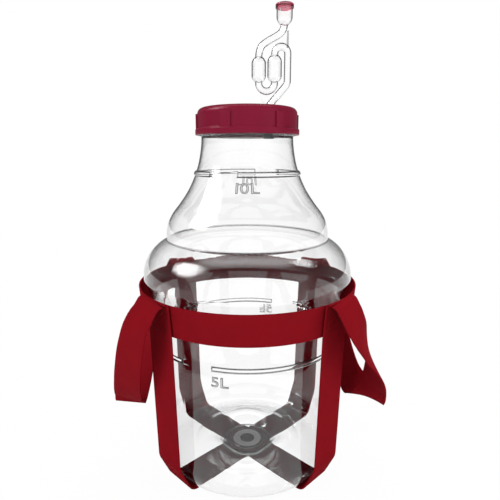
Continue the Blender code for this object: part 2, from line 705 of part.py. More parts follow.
def make_base_strap(name, azimuth_deg, lift, group, material):
    """Strap that runs from one corner's crest, under the base and up to the opposite crest."""
    away = Vector((math.cos(math.radians(azimuth_deg)), math.sin(math.radians(azimuth_deg)), 0.0))
    across = Vector((-away.y, away.x, 0.0))
    half = strap_half(lift)
    path = [(-distance, height) for distance, height in reversed(half[1:])] + half
    centres = [away * distance + Vector((0.0, 0.0, height)) for distance, height in path]
    return ribbon(name, centres, [across] * len(centres), group, material)


def make_handle(name, side, shares, group, material):
    """Carrying loop hanging from the front and back crests of one side."""
    stations = [
        (
            side * (CREST_OFFSET + HANDLE_REACH * out), CREST_OFFSET * along,
            CREST_HEIGHT - HANDLE_DROP * down, turn_deg,
        )
        for along, out, down, turn_deg in shares
    ]
    path = smooth_path(stations, HANDLE_SAMPLES)
    centres = [Vector(point[:3]) for point in path]
    turns = [math.radians(point[3]) for point in path]
    widths = [Vector((math.cos(turn), math.sin(turn), 0.0)) for turn in turns]
    pivot = Vector((side * CREST_OFFSET, 0.0, CREST_HEIGHT))
    handle = ribbon(name, [centre - pivot for centre in centres], widths, group, material)
    handle.location = pivot
    return handle


def main():
    """Build every piece of the demijohn."""
    clear_scene()
    parts = make_collection(NAME)
    cutters = make_collection("cutters")
    clear = make_material("clear_bottle", (0.92, 0.94, 0.95), 0.08, 0.9)
    cap_red = make_material("cap_burgundy", (0.23, 0.012, 0.034), 0.32)
    gasket = make_material("gasket_white", (0.80, 0.80, 0.78), 0.6)
    rubber = make_material("bung_rubber", (0.05, 0.05, 0.055), 0.55)
    tube = make_material("airlock_clear", (0.93, 0.95, 0.96), 0.06, 0.9)
    dust = make_material("dust_cap_red", (0.36, 0.012, 0.03), 0.25, 0.3)
    webbing = make_material("webbing_red", (0.21, 0.007, 0.011), 0.75)

    make_bottle(parts, cutters, clear)
    make_cap_gasket(parts, gasket)
    make_screw_cap(parts, cutters, cap_red)
    make_bung(parts, rubber)
    make_airlock(parts, cutters, tube)
    make_dust_cap(parts, dust)
    make_band(parts, webbing)
    crossing = STRAP_THICKNESS + SEAT_GAP
    for number, (azimuth_deg, lift) in enumerate(zip(STRAP_AZIMUTHS_DEG, (0.0, crossing)), 1):
        make_base_strap(f"base_strap_{number}", azimuth_deg, lift, parts, webbing)
    make_handle("left_handle", -1, LEFT_LOOP_SHARES, parts, webbing)
    make_handle("right_handle", 1, RIGHT_LOOP_SHARES, parts, webbing)


main()
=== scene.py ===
"""Looks of the plastic demijohn: clear bottle, burgundy screw cap, bubbler and red webbing harness.

Metres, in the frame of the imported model: +Z up, the floor is z = 0, the bottle's axis is the Z axis
and the front is -Y.
"""

import logging
import math
from contextlib import contextmanager
from dataclasses import dataclass
from enum import Enum
from typing import Iterator, Sequence

import bmesh
import bpy
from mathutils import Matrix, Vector


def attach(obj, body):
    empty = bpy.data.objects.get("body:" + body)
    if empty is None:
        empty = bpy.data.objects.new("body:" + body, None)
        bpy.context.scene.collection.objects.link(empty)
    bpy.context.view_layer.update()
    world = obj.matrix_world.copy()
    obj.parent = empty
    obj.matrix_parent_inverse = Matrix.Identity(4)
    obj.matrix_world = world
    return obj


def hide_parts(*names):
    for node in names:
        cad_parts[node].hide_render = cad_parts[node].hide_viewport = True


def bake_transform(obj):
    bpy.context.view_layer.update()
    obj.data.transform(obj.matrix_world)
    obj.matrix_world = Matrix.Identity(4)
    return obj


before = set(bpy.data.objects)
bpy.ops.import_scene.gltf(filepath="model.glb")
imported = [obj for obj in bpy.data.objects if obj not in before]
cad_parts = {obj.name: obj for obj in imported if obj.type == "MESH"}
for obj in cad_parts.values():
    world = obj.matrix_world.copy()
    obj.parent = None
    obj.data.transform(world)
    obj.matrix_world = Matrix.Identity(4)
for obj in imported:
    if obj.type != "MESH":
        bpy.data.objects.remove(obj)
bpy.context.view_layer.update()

LOG = logging.getLogger("plastic_demijohn")
WEBBING_MAP = "UVMap"
# Point value that paints dark lines, painted shade, on the clear parts.
PAINTED_LINE = "painted_line"
DOUBLES = 0.000002

Colour = tuple[float, float, float]
Pair = tuple[float, float]
Triple = tuple[float, float, float]
Piece = bpy.types.Object
Material = bpy.types.Material
WHITE: Colour = (1.0, 1.0, 1.0)


class Body(Enum):
    """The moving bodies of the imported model."""

    HARNESS = "harness"
    LEFT_LOOP = "left_loop"
    RIGHT_LOOP = "right_loop"
    VESSEL = "vessel"
    SEAL = "seal"
    CAP = "cap"
    BUNG = "bung"
    AIRLOCK = "airlock"
    DUST_CAP = "dust_cap"


class Slot(Enum):
    """The record's material slots."""

    BOTTLE = "clear_bottle"
    GASKET = "gasket_white"
    CAP = "cap_burgundy"
    BUNG = "bung_rubber"
    AIRLOCK = "airlock_clear"
    DUST_CAP = "dust_cap_red"
    WEBBING = "webbing_red"


class Side(Enum):
    """The side of a carrying loop, as its way along X."""

    LEFT = -1
    RIGHT = 1


# Shader graphs


class Wire:
    """A socket that takes part in Python arithmetic; each operation adds one Math node."""

    def __init__(self, graph: "Graph", socket: bpy.types.NodeSocket) -> None:
        """Hold the socket and the graph it belongs to."""
        self.graph = graph
        self.socket = socket

    def __add__(self, other: "Wire | float") -> "Wire":
        """Return self + other."""
        return self.graph.math("ADD", self, other)

    def __radd__(self, other: float) -> "Wire":
        """Return other + self."""
        return self.graph.math("ADD", other, self)

    def __sub__(self, other: "Wire | float") -> "Wire":
        """Return self - other."""
        return self.graph.math("SUBTRACT", self, other)

    def __rsub__(self, other: float) -> "Wire":
        """Return other - self."""
        return self.graph.math("SUBTRACT", other, self)

    def __mul__(self, other: "Wire | float") -> "Wire":
        """Return self * other."""
        return self.graph.math("MULTIPLY", self, other)

    def __rmul__(self, other: float) -> "Wire":
        """Return other * self."""
        return self.graph.math("MULTIPLY", other, self)

    def __abs__(self) -> "Wire":
        """Return the absolute value."""
        return self.graph.math("ABSOLUTE", self)


class Graph:
    """The node tree of one material or world."""

    def __init__(self, owner: Material | bpy.types.World) -> None:
        """Start an empty tree on its owner.

        Args:
            owner: The material or world that the tree belongs to.
        """
        owner.use_nodes = True
        self.tree = owner.node_tree
        self.tree.nodes.clear()

    def node(
        self,
        kind: str,
        settings: dict[str, object] | None = None,
        sockets: dict[str | int, object] | None = None,
    ) -> bpy.types.Node:
        """Add a node.

        Args:
            kind: The node's type without its ShaderNode prefix.
            settings: Properties that are set first.
            sockets: Values or wires for input sockets, by name or number.

        Returns:
            The new node.
        """
        made = self.tree.nodes.new(f"ShaderNode{kind}")
        for name, value in (settings or {}).items():
            setattr(made, name, value)
        for name, value in (sockets or {}).items():
            self.feed(made.inputs[name], value)
        return made

    def feed(self, socket: bpy.types.NodeSocket, value: object) -> None:
        """Link a wire to an input, or set its plain value.

        Args:
            socket: The input.
            value: A wire, or a plain number, colour or vector.
        """
        if isinstance(value, Wire):
            self.tree.links.new(value.socket, socket)
        elif socket.type == "RGBA" and len(value) == 3:
            socket.default_value = (*value, 1.0)
        else:
            socket.default_value = value

    def wire(
        self,
        kind: str,
        settings: dict[str, object] | None = None,
        sockets: dict[str | int, object] | None = None,
        output: str | int = 0,
    ) -> Wire:
        """Add a node and return one of its outputs as a wire."""
        return Wire(self, self.node(kind, settings, sockets).outputs[output])

    def math(self, operation: str, *values: "Wire | float", clamp: bool = False) -> Wire:
        """Add a Math node for the values."""
        return self.wire("Math", {"operation": operation, "use_clamp": clamp}, dict(enumerate(values)))

    def step(self, value: Wire, low: float, high: float) -> Wire:
        """Return 0 below low and 1 above high, with a smooth rise between."""
        sockets = {"Value": value, "From Min": low, "From Max": high}
        return self.wire("MapRange", {"interpolation_type": "SMOOTHSTEP"}, sockets)

    def mix(self, factor: "Wire | float", low: "Wire | Colour", high: "Wire | Colour") -> Wire:
        """Return a colour between low and high."""
        return self.wire("Mix", {"data_type": "RGBA"}, {0: factor, 6: low, 7: high}, 2)

    def axes(self, vector: Wire) -> tuple[Wire, Wire, Wire]:
        """Split a vector into its three numbers."""
        split = self.node("SeparateXYZ", None, {0: vector})
        return tuple(Wire(self, socket) for socket in split.outputs)

    def place(self) -> Wire:
        """Return the object coordinates."""
        return self.wire("TexCoord", None, None, "Object")

    def towards(self, vector: Wire, way: Vector) -> Wire:
        """Return the cosine between a unit vector and a fixed way."""
        sockets = {0: vector, 1: tuple(way.normalized())}
        return self.wire("VectorMath", {"operation": "DOT_PRODUCT"}, sockets, "Value")

    def noise(self, vector: Wire, scale: float, detail: float = 2.0) -> Wire:
        """Return a noise value from 0 to 1."""
        return self.wire("TexNoise", None, {"Vector": vector, "Scale": scale, "Detail": detail}, 0)

    def bump(self, height: Wire, strength: float, distance: float) -> Wire:
        """Return a normal bent by a height."""
        sockets = {"Height": height, "Strength": strength, "Distance": distance}
        return self.wire("Bump", None, sockets)

    def finish(self, shader: bpy.types.Node, output: str = "OutputMaterial") -> None:
        """Link the last shader to the output."""
        self.node(output, None, {"Surface": Wire(self, shader.outputs[0])})


@dataclass(frozen=True)
class WebbingFinish:
    """Woven polypropylene webbing; its map runs in metres along and across the strap."""

    name: str
    colour: Colour
    shade: Colour
    half_width: float
    rib_pitch: float = 0.0015
    pick_pitch: float = 0.0021
    selvedge: float = 0.0016
    relief: float = 0.00022
    roughness: float = 0.80
    gloss: float = 0.005
    cloud_scale: float = 46.0
    cloud_detail: float = 3.0
    fibre_scale: float = 900.0
    even_light: float = 0.60
    weave_light: float = 0.10
    cloud_light: float = 0.55
    fibre_light: float = 0.30
    weave_height: float = 0.5
    border_height: float = 0.7
    fibre_height: float = 0.25
    bump: float = 0.55
    polish: float = 0.12

    def material(self) -> Material:
        """Return the woven material.

        Returns:
            The woven material.
        """
        made = bpy.data.materials.new(self.name)
        graph = Graph(made)
        chart = graph.wire("UVMap", {"uv_map": WEBBING_MAP})
        along, across, _ = graph.axes(chart)
        ribs = graph.math("SINE", across * (math.tau / self.rib_pitch))
        picks = graph.math("SINE", along * (math.tau / self.pick_pitch))
        weave = ribs * picks
        border = graph.step(abs(across), self.half_width - self.selvedge, self.half_width)
        cloud = graph.noise(graph.place(), self.cloud_scale, self.cloud_detail)
        fibre = graph.noise(graph.place(), self.fibre_scale)
        light = self.even_light + weave * self.weave_light
        light = light + (cloud - 0.5) * self.cloud_light + (fibre - 0.5) * self.fibre_light
        lit = graph.math("MULTIPLY", light, 1.0, clamp=True)
        colour = graph.mix(lit, self.shade, self.colour)
        height = weave * self.weave_height + border * self.border_height + fibre * self.fibre_height
        shader = graph.node("BsdfPrincipled", None, {
            "Base Color": colour,
            "Roughness": self.roughness - lit * self.polish,
            "Specular IOR Level": self.gloss,
            "Normal": graph.bump(height, self.bump, self.relief),
        })
        graph.finish(shader)
        return made


@dataclass(frozen=True)
class ClearFinish:
    """Clear moulded plastic with a faint flow ripple, darkened by painted shade at its rims and along
    painted dark lines.
    """

    name: str
    tint: Colour
    # Painted shade: the darker colour that the surface gets where it is seen edge-on.
    painted_rim_shade: Colour
    rim_start: float = 0.55
    # Painted shade: the colour of the painted dark lines.
    painted_line_shade: Colour = (0.04, 0.04, 0.04)
    index: float = 1.46
    ripple: float = 0.04
    ripple_scale: float = 22.0
    ripple_depth: float = 0.004
    roughness: float = 0.010
    grain: float = 0.012
    grain_scale: float = 700.0
    facing_blend: float = 0.5

    def material(self) -> Material:
        """Return the clear material.

        Returns:
            The clear material.
        """
        made = bpy.data.materials.new(self.name)
        graph = Graph(made)
        place = graph.place()
        facing = graph.wire("LayerWeight", None, {"Blend": self.facing_blend}, "Facing")
        rim = graph.step(facing, self.rim_start, 1.0)
        flow = graph.noise(place, self.ripple_scale)
        grain = graph.noise(place, self.grain_scale)
        painted_line = graph.wire("Attribute", {"attribute_name": PAINTED_LINE}, None, "Fac")
        # Painted shade: the colour darkens towards the rim colour where the surface is seen edge-on.
        body = graph.mix(rim, self.tint, self.painted_rim_shade)
        shader = graph.node("BsdfPrincipled", None, {
            # Painted shade: dark lines where the points are marked.
            "Base Color": graph.mix(painted_line, body, self.painted_line_shade),
            "Roughness": self.roughness + grain * self.grain,
            "IOR": self.index,
            "Transmission Weight": 1.0,
            "Normal": graph.bump(flow, self.ripple, self.ripple_depth),
        })
        graph.finish(shader)
        return made


@dataclass(frozen=True)
class MouldedFinish:
    """Opaque or slightly clear moulded plastic or rubber with a fine grain."""

    name: str
    colour: Colour
    shade: Colour
    roughness: float
    grain_scale: float
    grain: float = 0.10
    gloss: float = 0.5
    transmission: float = 0.0
    index: float = 1.49
    cloud_scale: float = 60.0
    cloud_edge: Pair = (0.3, 0.7)
    detail: float = 3.0
    unevenness: float = 0.14
    grain_depth: float = 0.0002

    def material(self) -> Material:
        """Return the moulded material.

        Returns:
            The moulded material.
        """
        made = bpy.data.materials.new(self.name)
        graph = Graph(made)
        place = graph.place()
        cloud = graph.noise(place, self.cloud_scale, self.detail)
        grain = graph.noise(place, self.grain_scale, self.detail)
        shader = graph.node("BsdfPrincipled", None, {
            "Base Color": graph.mix(graph.step(cloud, *self.cloud_edge), self.shade, self.colour),
            "Roughness": self.roughness + (grain - 0.5) * self.unevenness,
            "IOR": self.index,
            "Specular IOR Level": self.gloss,
            "Transmission Weight": self.transmission,
            "Normal": graph.bump(grain, self.grain, self.grain_depth),
        })
        graph.finish(shader)
        return made


# Modelling


class Bench:
    """Blender's own tools, used on one object at a time."""

    SEED = 0.001

    @staticmethod
    def clear() -> None:
        """Deselect everything."""
        bpy.ops.object.select_all(action="DESELECT")

    @staticmethod
    def pick(piece: Piece) -> None:
        """Make one object selected and active.

        Args:
            piece: The object to work on.
        """
        Bench.clear()
        piece.select_set(True)
        bpy.context.view_layer.objects.active = piece

    @staticmethod
    def named(name: str) -> Piece:
        """Name the object that was just added and its mesh.

        Args:
            name: The name.

        Returns:
            The object.
        """
        piece = bpy.context.object
        piece.name = name
        piece.data.name = name
        return piece

    @staticmethod
    @contextmanager
    def edit(piece: Piece) -> Iterator[None]:
        """Work on a piece in edit mode with all of it selected.

        Args:
            piece: The piece to work on.

        Yields:
            Nothing, while the piece is in edit mode.
        """
        Bench.pick(piece)
        bpy.ops.object.mode_set(mode="EDIT")
        bpy.ops.mesh.select_all(action="SELECT")
        yield
        bpy.ops.object.mode_set(mode="OBJECT")

    @staticmethod
    def modify(piece: Piece, kind: str, **settings: object) -> None:
        """Add a modifier with its settings and apply it.

        Args:
            piece: The piece to change.
            kind: The modifier's type.
            settings: The modifier's properties.
        """
        Bench.pick(piece)
        change = piece.modifiers.new(kind.title(), kind)
        for name, value in settings.items():
            setattr(change, name, value)
        bpy.ops.object.modifier_apply(modifier=change.name)

    @staticmethod
    def freeze(piece: Piece) -> None:
        """Move a piece's place into its mesh."""
        Bench.pick(piece)
        bpy.ops.object.transform_apply(location=True, rotation=True, scale=True)

    @staticmethod
    def join(pieces: Sequence[Piece], name: str) -> Piece:
        """Join pieces into the first one and name it.

        Args:
            pieces: The objects to join.
            name: The name of the whole.

        Returns:
            The joined piece.
        """
        Bench.pick(pieces[0])
        for piece in pieces[1:]:
            piece.select_set(True)
        bpy.ops.object.join()
        return Bench.named(name)

    @staticmethod
    def smooth(piece: Piece, sharp_deg: float = 32.0) -> None:
        """Shade a piece smooth except at edges sharper than an angle."""
        Bench.pick(piece)
        bpy.ops.object.shade_smooth_by_angle(angle=math.radians(sharp_deg))

    @staticmethod
    def heal() -> None:
        """Merge doubled points and turn all faces outwards, in edit mode."""
        bpy.ops.mesh.remove_doubles(threshold=DOUBLES)
        bpy.ops.mesh.normals_make_consistent(inside=False)

    @staticmethod
    def cut(piece: Piece, tool: Piece) -> None:
        """Cut a tool's shape out of a piece and take the tool away."""
        Bench.modify(piece, "BOOLEAN", operation="DIFFERENCE", solver="EXACT", object=tool)
        bpy.data.objects.remove(tool, do_unlink=True)

    @staticmethod
    def mark(piece: Piece, lines: Sequence[float]) -> None:
        """Store how much painted shade, as a dark line, each point gets, from 0 to 1."""
        piece.data.attributes.new(PAINTED_LINE, "FLOAT", "POINT").data.foreach_set("value", lines)

    @staticmethod
    def dress(piece: Piece, finish: Material) -> None:
        """Make a material the only one of a piece."""
        piece.data.materials.clear()
        piece.data.materials.append(finish)

    @staticmethod
    def turned(name: str, outline: Sequence[Pair], sides: int, x: float = 0.0) -> Piece:
        """Draw an outline vertex by vertex and spin it about a vertical axis.

        Args:
            name: The piece's name.
            outline: (radius, height) points; a first point that comes again at the end closes it.
            sides: The number of steps round.
            x: Where the axis stands.

        Returns:
            The turned piece, with its faces pointing out.
        """
        Bench.clear()
        radius, height = outline[0]
        bpy.ops.mesh.primitive_plane_add(size=Bench.SEED, location=(x + radius, 0.0, height))
        piece = Bench.named(name)
        Bench.freeze(piece)
        with Bench.edit(piece):
            bpy.ops.mesh.merge(type="CENTER")
            for before, after in zip(outline, outline[1:]):
                way = (after[0] - before[0], 0.0, after[1] - before[1])
                bpy.ops.mesh.extrude_region_move(TRANSFORM_OT_translate={"value": way})
            bpy.ops.mesh.select_all(action="SELECT")
            bpy.ops.mesh.spin(steps=sides, angle=math.tau, center=(x, 0.0, 0.0), axis=(0.0, 0.0, 1.0))
            bpy.ops.mesh.select_all(action="SELECT")
            Bench.heal()
        return piece

    @staticmethod
    def report(piece: Piece) -> None:
        """Log a finished piece and its size."""
        sizes = " x ".join(f"{1000 * side:.1f}" for side in piece.dimensions)
        LOG.info("%s: %d faces, %s mm", piece.name, len(piece.data.polygons), sizes)


class Curves:
    """Points along plain curves in a plane."""

    EDGE_STEPS = 3

    @staticmethod
    def arc(centre: Pair, radius: float, start_deg: float, end_deg: float, steps: int) -> list[Pair]:
        """Return points along an arc, both ends included.

        Args:
            centre: The arc's centre.
            radius: Its radius.
            start_deg: The direction of its first point.
            end_deg: The direction of its last point.
            steps: The number of steps between them.

        Returns:
            The points, both ends included.
        """
        turns = (start_deg + (end_deg - start_deg) * step / steps for step in range(steps + 1))
        angles = [math.radians(turn) for turn in turns]
        return [(centre[0] + radius * math.cos(a), centre[1] + radius * math.sin(a)) for a in angles]

    @staticmethod
    def edge(centre: Pair, radius: float, start_deg: float) -> list[Pair]:
        """Return the points of a rounded edge, a quarter turn clockwise from a direction."""
        return Curves.arc(centre, radius, start_deg, start_deg - 90.0, Curves.EDGE_STEPS)

    @staticmethod
    def fillet(corner: Pair, before: Pair, after: Pair, radius: float, steps: int) -> list[Pair]:
        """Round the corner of a path and return the points of its arc.

        Args:
            corner: The corner.
            before: A point on the path before it.
            after: A point on the path after it.
            radius: The radius of the bend.
            steps: The number of steps in the bend.

        Returns:
            The points of the bend.
        """
        middle, last, following = Vector(corner), Vector(before), Vector(after)
        first, second = (last - middle).normalized(), (following - middle).normalized()
        half = first.angle(second) / 2
        reach = radius / math.tan(half)
        centre = middle + (first + second).normalized() * (radius / math.sin(half))
        start = (middle + first * reach - centre).normalized()
        end = (middle + second * reach - centre).normalized()
        return [tuple(centre + start.slerp(end, step / steps) * radius) for step in range(steps + 1)]

    @staticmethod
    def smooth(stations: Sequence[tuple[float, ...]], samples: int) -> list[tuple[float, ...]]:
        """Return points of a Catmull-Rom curve through tuples of numbers.

        Args:
            stations: What the curve passes through.
            samples: The number of points for each stretch.

        Returns:
            The points, both ends included.
        """
        padded = [stations[0], *stations, stations[-1]]
        path = []
        for index in range(len(stations) - 1):
            for sample in range(samples):
                near = zip(*padded[index:index + 4])
                path.append(tuple(Curves.between(*values, sample / samples) for values in near))
        path.append(tuple(stations[-1]))
        return path

    @staticmethod
    def between(a: float, b: float, c: float, d: float, t: float) -> float:
        """Return the Catmull-Rom value between b and c at share t."""
        squared, cubed = 2 * a - 5 * b + 4 * c - d, 3 * b - a - 3 * c + d
        return (2 * b + (c - a) * t + squared * t**2 + cubed * t**3) / 2

    @staticmethod
    def shared(start: Pair, end: Pair, shares: Sequence[Pair]) -> list[Pair]:
        """Place (down, out) shares between an upper and a lower (radius, height) point.

        Args:
            start: The upper point.
            end: The lower point.
            shares: How far down and out each point is, from 0 to 1.

        Returns:
            The points.
        """
        return [
            (start[0] + (end[0] - start[0]) * out, start[1] + (end[1] - start[1]) * down)
            for down, out in shares
        ]


# Bottle


@dataclass
class Bottle:
    """Blow-moulded clear bottle with its beads, neck thread and punted base.

    A litre bead is given by its height, and by its start and span round the wall in degrees.
    """

    foot_z: float = 0.0019
    sides: int = 160
    wall: float = 0.0012
    neck_wall: float = 0.0025
    neck_radius: float = 0.0485
    neck_top: float = 0.3862
    neck_root: float = 0.3630
    lip: float = 0.0006
    neck_bead_height: float = 0.0030
    neck_bead_proud: float = 0.0012
    shoulder: Pair = (0.0880, 0.2633)
    bulge_start: Pair = (0.0884, 0.2552)
    bulge: Pair = (0.1144, 0.2150)
    fold_depth: float = 0.00015
    body_top: Pair = (0.1055, 0.1830)
    body_radius: float = 0.1040
    heel_height: float = 0.0260
    foot_radius: float = 0.0900
    foot_width: float = 0.0080
    punt_edge: Pair = (0.0630, 0.0050)
    punt_ridge: tuple[Pair, ...] = ((0.0545, 0.0098), (0.0455, 0.0120), (0.0370, 0.0088))
    gate_height: float = 0.0030
    gate_radii: Pair = (0.0088, 0.0166)
    gate_thick: float = 0.0004
    ring_radii: tuple[float, ...] = (0.0270, 0.0184, 0.0096)
    ring_width: float = 0.0024
    ring_proud: float = 0.0008
    ring_foot: float = 0.0004
    bead_height: float = 0.0054
    bead_proud: float = 0.0018
    bead_end: float = 0.0007
    ten_litre: Triple = (0.3254, -100.0, 149.0)
    five_litre: Triple = (0.1466, -108.6, 161.8)
    thread_pitch: float = 0.0080
    thread_half: float = 0.0014
    thread_proud: float = 0.0012
    thread_span: Pair = (0.3690, 0.3842)
    petal_turns_deg: tuple[float, ...] = (90.0, 218.0, 322.0)
    petal_offset: float = 0.0350
    petal_radius: float = 0.0250
    petal_rise: float = 0.0034
    # Strengths of the painted dark lines (painted shade) at the fold, the bead ends and edges, the base
    # rings and the hub.
    fold_line: float = 0.55
    bead_line: float = 0.9
    bead_line_band: Pair = (0.82, 1.1)
    ring_line: float = 0.90
    hub_line: float = 0.55
    thread_slope: float = 1.6
    gate_sides: int = 96
    sharp_deg: float = 50.0
    neck_rows: int = 38
    wall_rows: int = 12
    base_rows: int = 6
    samples: int = 5
    under_bulge_samples: int = 4
    punt_samples: int = 6

    ROUND_STEP_DEG = 20
    HEEL_STEP_DEG = 8
    BEAD_STEP_DEG = 15
    BEAD_MARGIN = 1.12
    LINE_PART = 9
    AHEAD_DEG = 5.0
    END_COLUMNS = ((-1, -3.0), (0, -1.0), (1, 1.0), (2, 3.0))
    SHOULDER_SHARES = (
        (0.078, 0.008), (0.189, 0.046), (0.302, 0.109), (0.430, 0.224), (0.560, 0.382),
        (0.692, 0.605), (0.805, 0.825), (0.900, 0.950), (1.000, 1.000),
    )
    BULGE_SHARES = ((0.120, 0.310), (0.270, 0.572), (0.470, 0.790), (0.720, 0.943), (1.000, 1.000))
    UNDER_BULGE_SHARES = (
        (0.100, 0.075), (0.260, 0.335), (0.440, 0.650), (0.660, 0.880), (1.000, 1.000),
    )

    def outline(self) -> list[Pair]:
        """Return the outer outline from the lip down to the middle of the base.

        Returns:
            (radius, height) points from the lip to the middle of the base.
        """
        neck = self.neck_radius
        line = Curves.edge((neck - self.lip, self.neck_top - self.lip), self.lip, 90.0)
        low, high = self.neck_root, self.neck_root + self.neck_bead_height
        line += self.rows_down(line[-1], (neck, high), self.neck_rows)
        line += [
            (
                neck + self.neck_bead_proud * math.sin(turn),
                (low + high) / 2 + (high - low) / 2 * math.cos(turn),
            )
            for turn in self.turns(self.ROUND_STEP_DEG, 180, self.ROUND_STEP_DEG)
        ]
        stations = [(neck, low), *Curves.shared((neck, low), self.shoulder, self.SHOULDER_SHARES)]
        line += Curves.smooth(stations, self.samples)[1:]
        stations = [self.bulge_start, *Curves.shared(self.bulge_start, self.bulge, self.BULGE_SHARES)]
        fold = self.bulge_start[1]
        line.append((self.shoulder[0], fold + 3 * self.lip))
        line.append((self.shoulder[0] - self.fold_depth, fold + self.lip))
        line += Curves.smooth(stations, self.samples)
        stations = [self.bulge, *Curves.shared(self.bulge, self.body_top, self.UNDER_BULGE_SHARES)]
        line += Curves.smooth(stations, self.under_bulge_samples)[1:]
        heel = self.body_radius - self.foot_radius
        line += self.rows_down(line[-1], (self.body_radius, self.heel_height), self.wall_rows)
        line += [
            (self.foot_radius + heel * math.cos(turn), self.heel_height * (1 - math.sin(turn)))
            for turn in self.turns(self.HEEL_STEP_DEG, 90, self.HEEL_STEP_DEG)
        ]
        line += [(self.foot_radius - 2 * self.lip, 0.0), (self.foot_radius - self.foot_width, 0.0)]
        line += self.rows_down(line[-1], self.punt_edge, self.base_rows)
        gate = self.gate_height
        ring_start = (self.ring_radii[0] + self.ring_width, gate)
        line += Curves.smooth([self.punt_edge, *self.punt_ridge, ring_start], self.punt_samples)[1:]
        half = self.ring_width / 2
        for radius in self.ring_radii:
            line.append((radius + half + self.ring_foot, gate))
            line += [
                (radius + half * math.cos(turn), gate - self.ring_proud * math.sin(turn))
                for turn in self.turns(0, 180, self.ROUND_STEP_DEG)
            ]
            line.append((radius - half - self.ring_foot, gate))
        line += [(self.ring_radii[-1] / 3, gate), (0.0, gate)]
        return self.with_bead_rows(line)

    @staticmethod
    def turns(start: int, end: int, step: int) -> list[float]:
        """Return angles in radians from whole degrees, at most up to an end."""
        return [math.radians(degrees) for degrees in range(start, end + 1, step)]

    @staticmethod
    def rows_down(start: Pair, end: Pair, rows: int) -> list[Pair]:
        """Return evenly spaced points after start, up to and with end.

        Args:
            start: The point before the first one.
            end: The last point.
            rows: The number of points.

        Returns:
            The points.
        """
        return [
            (start[0] + (end[0] - start[0]) * row / rows, start[1] + (end[1] - start[1]) * row / rows)
            for row in range(1, rows + 1)
        ]

    def with_bead_rows(self, line: list[Pair]) -> list[Pair]:
        """Replace the rows behind each graduation bead by rows that follow its round section.

        Args:
            line: The outline.

        Returns:
            The outline with the beads' rows.
        """
        for height, _, _ in (self.ten_litre, self.five_litre):
            half, edge = self.bead_height / 2, self.BEAD_MARGIN
            shares = [-edge, *(math.sin(turn) for turn in self.turns(-90, 90, self.BEAD_STEP_DEG)), edge]
            places = [height - half * share for share in shares]
            rows = [(self.radius_at(line, place), place) for place in places]
            top, bottom = height + half * edge, height - half * edge
            above = [point for point in line if point[1] > top and point[1] > height]
            below = line[len([point for point in line if point[1] >= bottom]):]
            line = above + rows + below
        return line

    @staticmethod
    def radius_at(line: Sequence[Pair], height: float) -> float:
        """Return the outline's radius at a height on its outer side.

        Args:
            line: The outline.
            height: The height.

        Returns:
            The radius.
        """
        for upper, lower in zip(line, line[1:]):
            if upper[1] >= height >= lower[1] and upper[1] > lower[1]:
                share = (upper[1] - height) / (upper[1] - lower[1])
                return upper[0] + (lower[0] - upper[0]) * share
        return line[0][0]

    def snap_columns(self, shell: Piece) -> None:
        """Turn the columns beside each bead end close to it, so that the end is crisp.

        Args:
            shell: The turned bottle.
        """
        step = math.tau / self.sides
        places = {}
        for _, start_deg, span_deg in (self.ten_litre, self.five_litre):
            ends = (start_deg, start_deg + span_deg)
            for end_deg in (*ends, *(end_deg + 180.0 for end_deg in ends)):
                end = math.radians(end_deg) % math.tau
                column = int(end / step)
                near = self.bead_end / self.body_radius / 2
                for offset, share in self.END_COLUMNS:
                    places[(column + offset) % self.sides] = end + near * share
        for vertex in shell.data.vertices:
            radius = math.hypot(vertex.co.x, vertex.co.y)
            turn = math.atan2(vertex.co.y, vertex.co.x) % math.tau
            place = places.get(round(turn / step) % self.sides)
            if radius > self.neck_radius / 2 and place is not None:
                vertex.co.x, vertex.co.y = radius * math.cos(place), radius * math.sin(place)

    def bead_share(self, turn: float, height: float) -> float:
        """Return how far the graduation beads stand out at a place on the wall, from 0 to 1.

        Args:
            turn: The place round the wall in radians.
            height: The height.

        Returns:
            The share of the bead's full relief.
        """
        for middle, start_deg, span_deg in (self.ten_litre, self.five_litre):
            across = 2 * abs(height - middle) / self.bead_height
            past = (math.degrees(turn) - start_deg) % 180.0
            if across < 1 and past < span_deg:
                return math.sqrt(1 - across**2)
        return 0.0

    def painted_line_share(self, turn: float, height: float, radius: float) -> float:
        """Return how much painted shade a place gets as the dark line of a fold, bead edge, base ring or the
        hub, from 0 to 1.

        Args:
            turn: The place round the wall in radians.
            height: The height.
            radius: The distance from the axis.

        Returns:
            The share of the full painted dark line.
        """
        if abs(height - self.bulge_start[1] - self.lip / 2) < self.lip:
            return self.fold_line
        start, stop = self.bead_line_band
        for middle, start_deg, span_deg in (self.ten_litre, self.five_litre):
            across = 2 * abs(height - middle) / self.bead_height
            past = (math.degrees(turn) - start_deg + self.AHEAD_DEG) % 180.0 - self.AHEAD_DEG
            end = math.degrees(self.bead_end / self.body_radius)
            if across < stop and -end < past < span_deg + end:
                at_end = min(abs(past), abs(past - span_deg)) < end
                return self.bead_line if at_end or start < across else 0.0
        if height < self.heel_height:
            off = min(abs(abs(radius - middle) - self.ring_width / 2) for middle in self.ring_radii)
            if radius < self.gate_radii[0]:
                return self.hub_line
            return self.ring_line if off < self.ring_width / self.LINE_PART else 0.0
        return 0.0

    def thread_share(self, turn: float, height: float) -> float:
        """Return how far the neck thread stands out at a place on the neck, from 0 to 1.

        Args:
            turn: The place round the neck in radians.
            height: The height.

        Returns:
            The share of the thread's full relief.
        """
        low, high = self.thread_span
        along = height - low - self.thread_pitch * (turn / math.tau)
        off = abs(along - self.thread_pitch * round(along / self.thread_pitch))
        inside = min(height - low, high - height) / self.thread_half
        return max(0.0, min(1.0, self.thread_slope * (1 - off / self.thread_half), inside))

